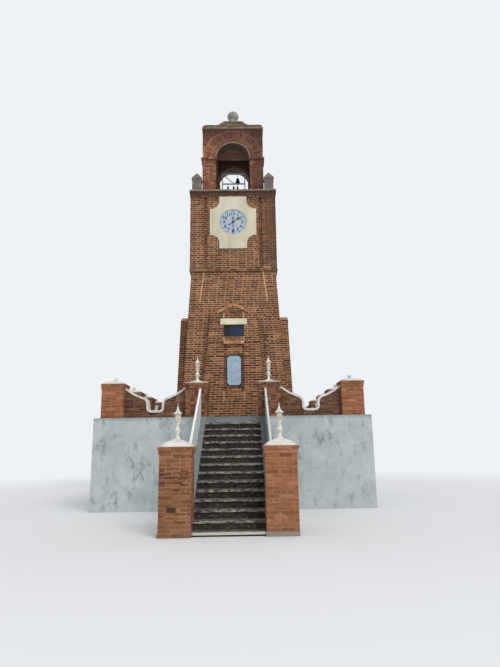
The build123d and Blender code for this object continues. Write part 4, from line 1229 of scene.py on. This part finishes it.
class TurnLamps(Operator):
    """Turn the four lamp standards with their lanterns"""
    bl_idname = "clock_tower.turn_lamps"
    bl_label = "Lamp standards"

    def execute(self, context):
        groups = {}
        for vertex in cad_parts["stair_lamps"].data.vertices:
            # Left or right, and at the stair's foot or head, which lie on either side of 5 m.
            key = (vertex.co.x > 0, vertex.co.y < -5.0)
            low, high = groups.setdefault(key, ([9e9] * 3, [-9e9] * 3))
            for axis in range(3):
                low[axis] = min(low[axis], vertex.co[axis])
                high[axis] = max(high[axis], vertex.co[axis])
        forms = []
        for low, high in groups.values():
            forms += self.lamp(Vector(((low[0] + high[0]) / 2, (low[1] + high[1]) / 2, low[2])))
        # Cast iron, painted white many times over, chipped at the edges.
        iron = coated("White painted cast iron", "#d9d8d2", "#827e70", 0.5, wear=0.6, patch_mm=45)
        lamps = formed("lamp_standards", forms, iron, smooth=True)
        lamps.data.set_sharp_from_angle(angle=math.radians(35))
        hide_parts("stair_lamps")
        # Amber glass, painted pale as if lit through by the sky.
        paint(pane("Amber lantern glass", "#a5834c", "#d6bd8a", 0.3), "lamp_glasses")
        return {"FINISHED"}

    def lathe(self, foot, profile, columns):
        """The rows of points of a form turned round an upright axis."""
        turns = [2 * math.pi * column / columns for column in range(columns)]
        return [
            [foot + Vector((radius * math.cos(turn), radius * math.sin(turn), height)) for turn in turns]
            for radius, height in profile
        ]

    def lamp(self, foot):
        """The forms of one lamp: vase post, lantern bars and rings, flared roof and spike."""
        post = [
            (0.058, 0.0), (0.058, 0.010), (0.052, 0.014), (0.046, 0.022), (0.034, 0.040), (0.028, 0.062),
            (0.027, 0.085), (0.031, 0.096), (0.040, 0.120), (0.051, 0.147), (0.057, 0.169), (0.054, 0.184),
            (0.043, 0.196), (0.034, 0.210), (0.030, 0.236), (0.029, 0.276), (0.034, 0.284), (0.044, 0.299),
            (0.044, 0.318), (0.047, 0.324), (0.052, 0.329), (0.052, 0.335),
        ]
        forms = [self.lathe(foot, post, 24)]
        # Six leaning bars, 9 mm square, given by their reach and height at both ends.
        low, high = (0.034, 0.332), (0.054, 0.486)
        corners = ((0.0, -1), (0.0, 1), (0.009, 1), (0.009, -1))
        for index in range(6):
            angle = math.pi * index / 3
            ray = Vector((math.cos(angle), math.sin(angle), 0))
            side = Vector((-ray.y, ray.x, 0)) * 0.0045
            forms.append([
                [foot + ray * (reach + outer) + side * sign + UP * height for outer, sign in corners]
                for reach, height in (low, high)
            ])
        # Four rings, 8 mm square, that follow the lean of the bars.
        corners = ((-0.004, -0.004), (0.004, -0.004), (0.004, 0.004), (-0.004, 0.004))
        for height in (0.338, 0.388, 0.440, 0.478):
            reach = low[0] + (high[0] - low[0]) * (height - low[1]) / (high[1] - low[1]) + 0.004
            forms.append(self.lathe(foot, [(reach + out, height + up) for out, up in corners], 6))
        roof = [
            (0.060, 0.480), (0.084, 0.483), (0.086, 0.490), (0.082, 0.496), (0.066, 0.503), (0.050, 0.516),
            (0.036, 0.536), (0.025, 0.561), (0.018, 0.586), (0.012, 0.600), (0.014, 0.606), (0.012, 0.613),
            (0.008, 0.622), (0.006, 0.646), (0.003, 0.678),
        ]
        return forms + [self.lathe(foot, roof, 24)]


class HangBells(Operator):
    """Finish the bells and their steel frame"""
    bl_idname = "clock_tower.hang_bells"
    bl_label = "Bells"

    def execute(self, context):
        # Cast bell bronze, nearly black with age, a little green at the lips.
        paint(coated("Aged bell bronze", "#2b2721", "#3e4438", 0.45, metallic=0.8, wear=0.6), "bells")
        # Galvanised bar, dull grey with a trace of rust.
        paint(coated("Galvanised steel bar", "#9aa0a2", "#7a6a58", 0.5, metallic=0.6, wear=0.5), "bell_frame")
        return {"FINISHED"}


class SetStage(Operator):
    """Set the floor, the light and the camera"""
    bl_idname = "clock_tower.set_stage"
    bl_label = "Stage"

    def execute(self, context):
        light = context.scene.stage_light
        scene = context.scene
        self.floor(light)
        self.world(light)
        lamp = bpy.data.lights.new("key", "SUN")
        lamp.energy = light.key
        lamp.angle = math.radians(30)
        lamp.color = (1.0, 0.98, 0.95)
        key = bpy.data.objects.new("key", lamp)
        key.rotation_euler = (math.radians(48), 0.0, math.radians(30))
        scene.collection.objects.link(key)

        view = bpy.data.cameras.new("photograph")
        view.sensor_fit = "HORIZONTAL"
        view.sensor_width = 36.0
        view.lens = light.lens
        view.clip_end = 300.0
        camera = bpy.data.objects.new("photograph", view)
        # The camera looks up by 12.37 degrees from eye height, turned and rolled by less than a degree.
        turn = Matrix.Identity(4)
        for degrees, axis in ((-0.67, "Z"), (90 + 12.37, "X"), (-0.88, "Z")):
            turn = turn @ Matrix.Rotation(math.radians(degrees), 4, axis)
        camera.matrix_world = Matrix.Translation((0.318, -16.9, 1.59)) @ turn
        scene.collection.objects.link(camera)
        scene.camera = camera
        scene.view_settings.view_transform = "Standard"
        return {"FINISHED"}

    def floor(self, light):
        """A plain pale floor that fades into the backdrop, so that no horizon shows."""
        mesh = bpy.data.meshes.new("studio_floor")
        # It lies 2 mm low, so that it never shares a plane with the object.
        corners = [(120.0 * x, 120.0 * y, -0.002) for x, y in ((-1, -1), (1, -1), (1, 1), (-1, 1))]
        mesh.from_pydata(corners, [], [(0, 1, 2, 3)])
        floor = bpy.data.objects.new("studio_floor", mesh)
        bpy.context.scene.collection.objects.link(floor)
        material, tree, shader, place = new_finish("Pale studio floor", 0.95)
        shader.inputs["Base Color"].default_value = tuple(light.floor)
        far = add(tree, "ShaderNodeVectorMath", {0: place}, operation="LENGTH")
        fade = add(
            tree, "ShaderNodeMapRange", {0: far.outputs["Value"], 1: 8.0, 2: 17.0, 3: 0.0, 4: 1.0},
            interpolation_type="SMOOTHSTEP",
        )
        glow = add(tree, "ShaderNodeEmission", {"Color": tuple(light.backdrop), "Strength": 1.0})
        blended = add(tree, "ShaderNodeMixShader", {0: fade, 1: shader, 2: glow})
        output = next(node for node in tree.nodes if node.type == "OUTPUT_MATERIAL")
        tree.links.new(blended.outputs[0], output.inputs["Surface"])
        mesh.materials.append(material)

    def world(self, light):
        """Soft light from all round, seen as the plain backdrop by the camera, metal and glass."""
        world = bpy.data.worlds.new("Soft studio")
        bpy.context.scene.world = world
        world.use_nodes = True
        tree = world.node_tree
        tree.nodes.clear()
        path = add(tree, "ShaderNodeLightPath").outputs
        seen = path["Is Camera Ray"]
        for ray in ("Is Glossy Ray", "Is Transmission Ray"):
            seen = add(tree, "ShaderNodeMath", {0: seen, 1: path[ray]}, operation="MAXIMUM")
        soft = add(tree, "ShaderNodeBackground", {"Color": linear("#f1f3f7"), "Strength": light.fill})
        plain = add(tree, "ShaderNodeBackground", {"Color": tuple(light.backdrop), "Strength": 1.0})
        both = add(tree, "ShaderNodeMixShader", {0: seen, 1: soft, 2: plain})
        add(tree, "ShaderNodeOutputWorld", {"Surface": both})


class ClockTowerPanel(Panel):
    """Lists the sizes and the steps that dress the clock tower"""
    bl_idname = "VIEW3D_PT_clock_tower"
    bl_label = "Clock Tower"
    bl_space_type = "VIEW_3D"
    bl_region_type = "UI"
    bl_category = "Clock Tower"

    def draw(self, context):
        for title, group in GROUPS.items():
            box = self.layout.box()
            box.label(text=title.replace("_", " ").capitalize())
            values = getattr(context.scene, title)
            for name in group.__annotations__:
                box.prop(values, name)
        for step in STEPS:
            self.layout.operator(step.bl_idname)


GROUPS = {"brickwork_sizes": BrickworkSizes, "clock_sizes": ClockSizes, "stage_light": StageLight}
STEPS = (
    SetStage, LayTowerBricks, LayBelfryBricks, LayPillarBricks, LayTrimBricks, FinishRenderedWork, CarveStone,
    FitClock, FitWindowAndPlaque, TurnLamps, HangBells,
)


def register():
    for title, group in GROUPS.items():
        bpy.utils.register_class(group)
        setattr(bpy.types.Scene, title, PointerProperty(type=group))
    for step in STEPS:
        bpy.utils.register_class(step)
    bpy.utils.register_class(ClockTowerPanel)


def unregister():
    bpy.utils.unregister_class(ClockTowerPanel)
    for step in reversed(STEPS):
        bpy.utils.unregister_class(step)
    for title, group in GROUPS.items():
        delattr(bpy.types.Scene, title)
        bpy.utils.unregister_class(group)


def main():
    register()
    for step in STEPS:
        group, name = step.bl_idname.split(".")
        getattr(getattr(bpy.ops, group), name)()


if __name__ == "__main__":
    main()
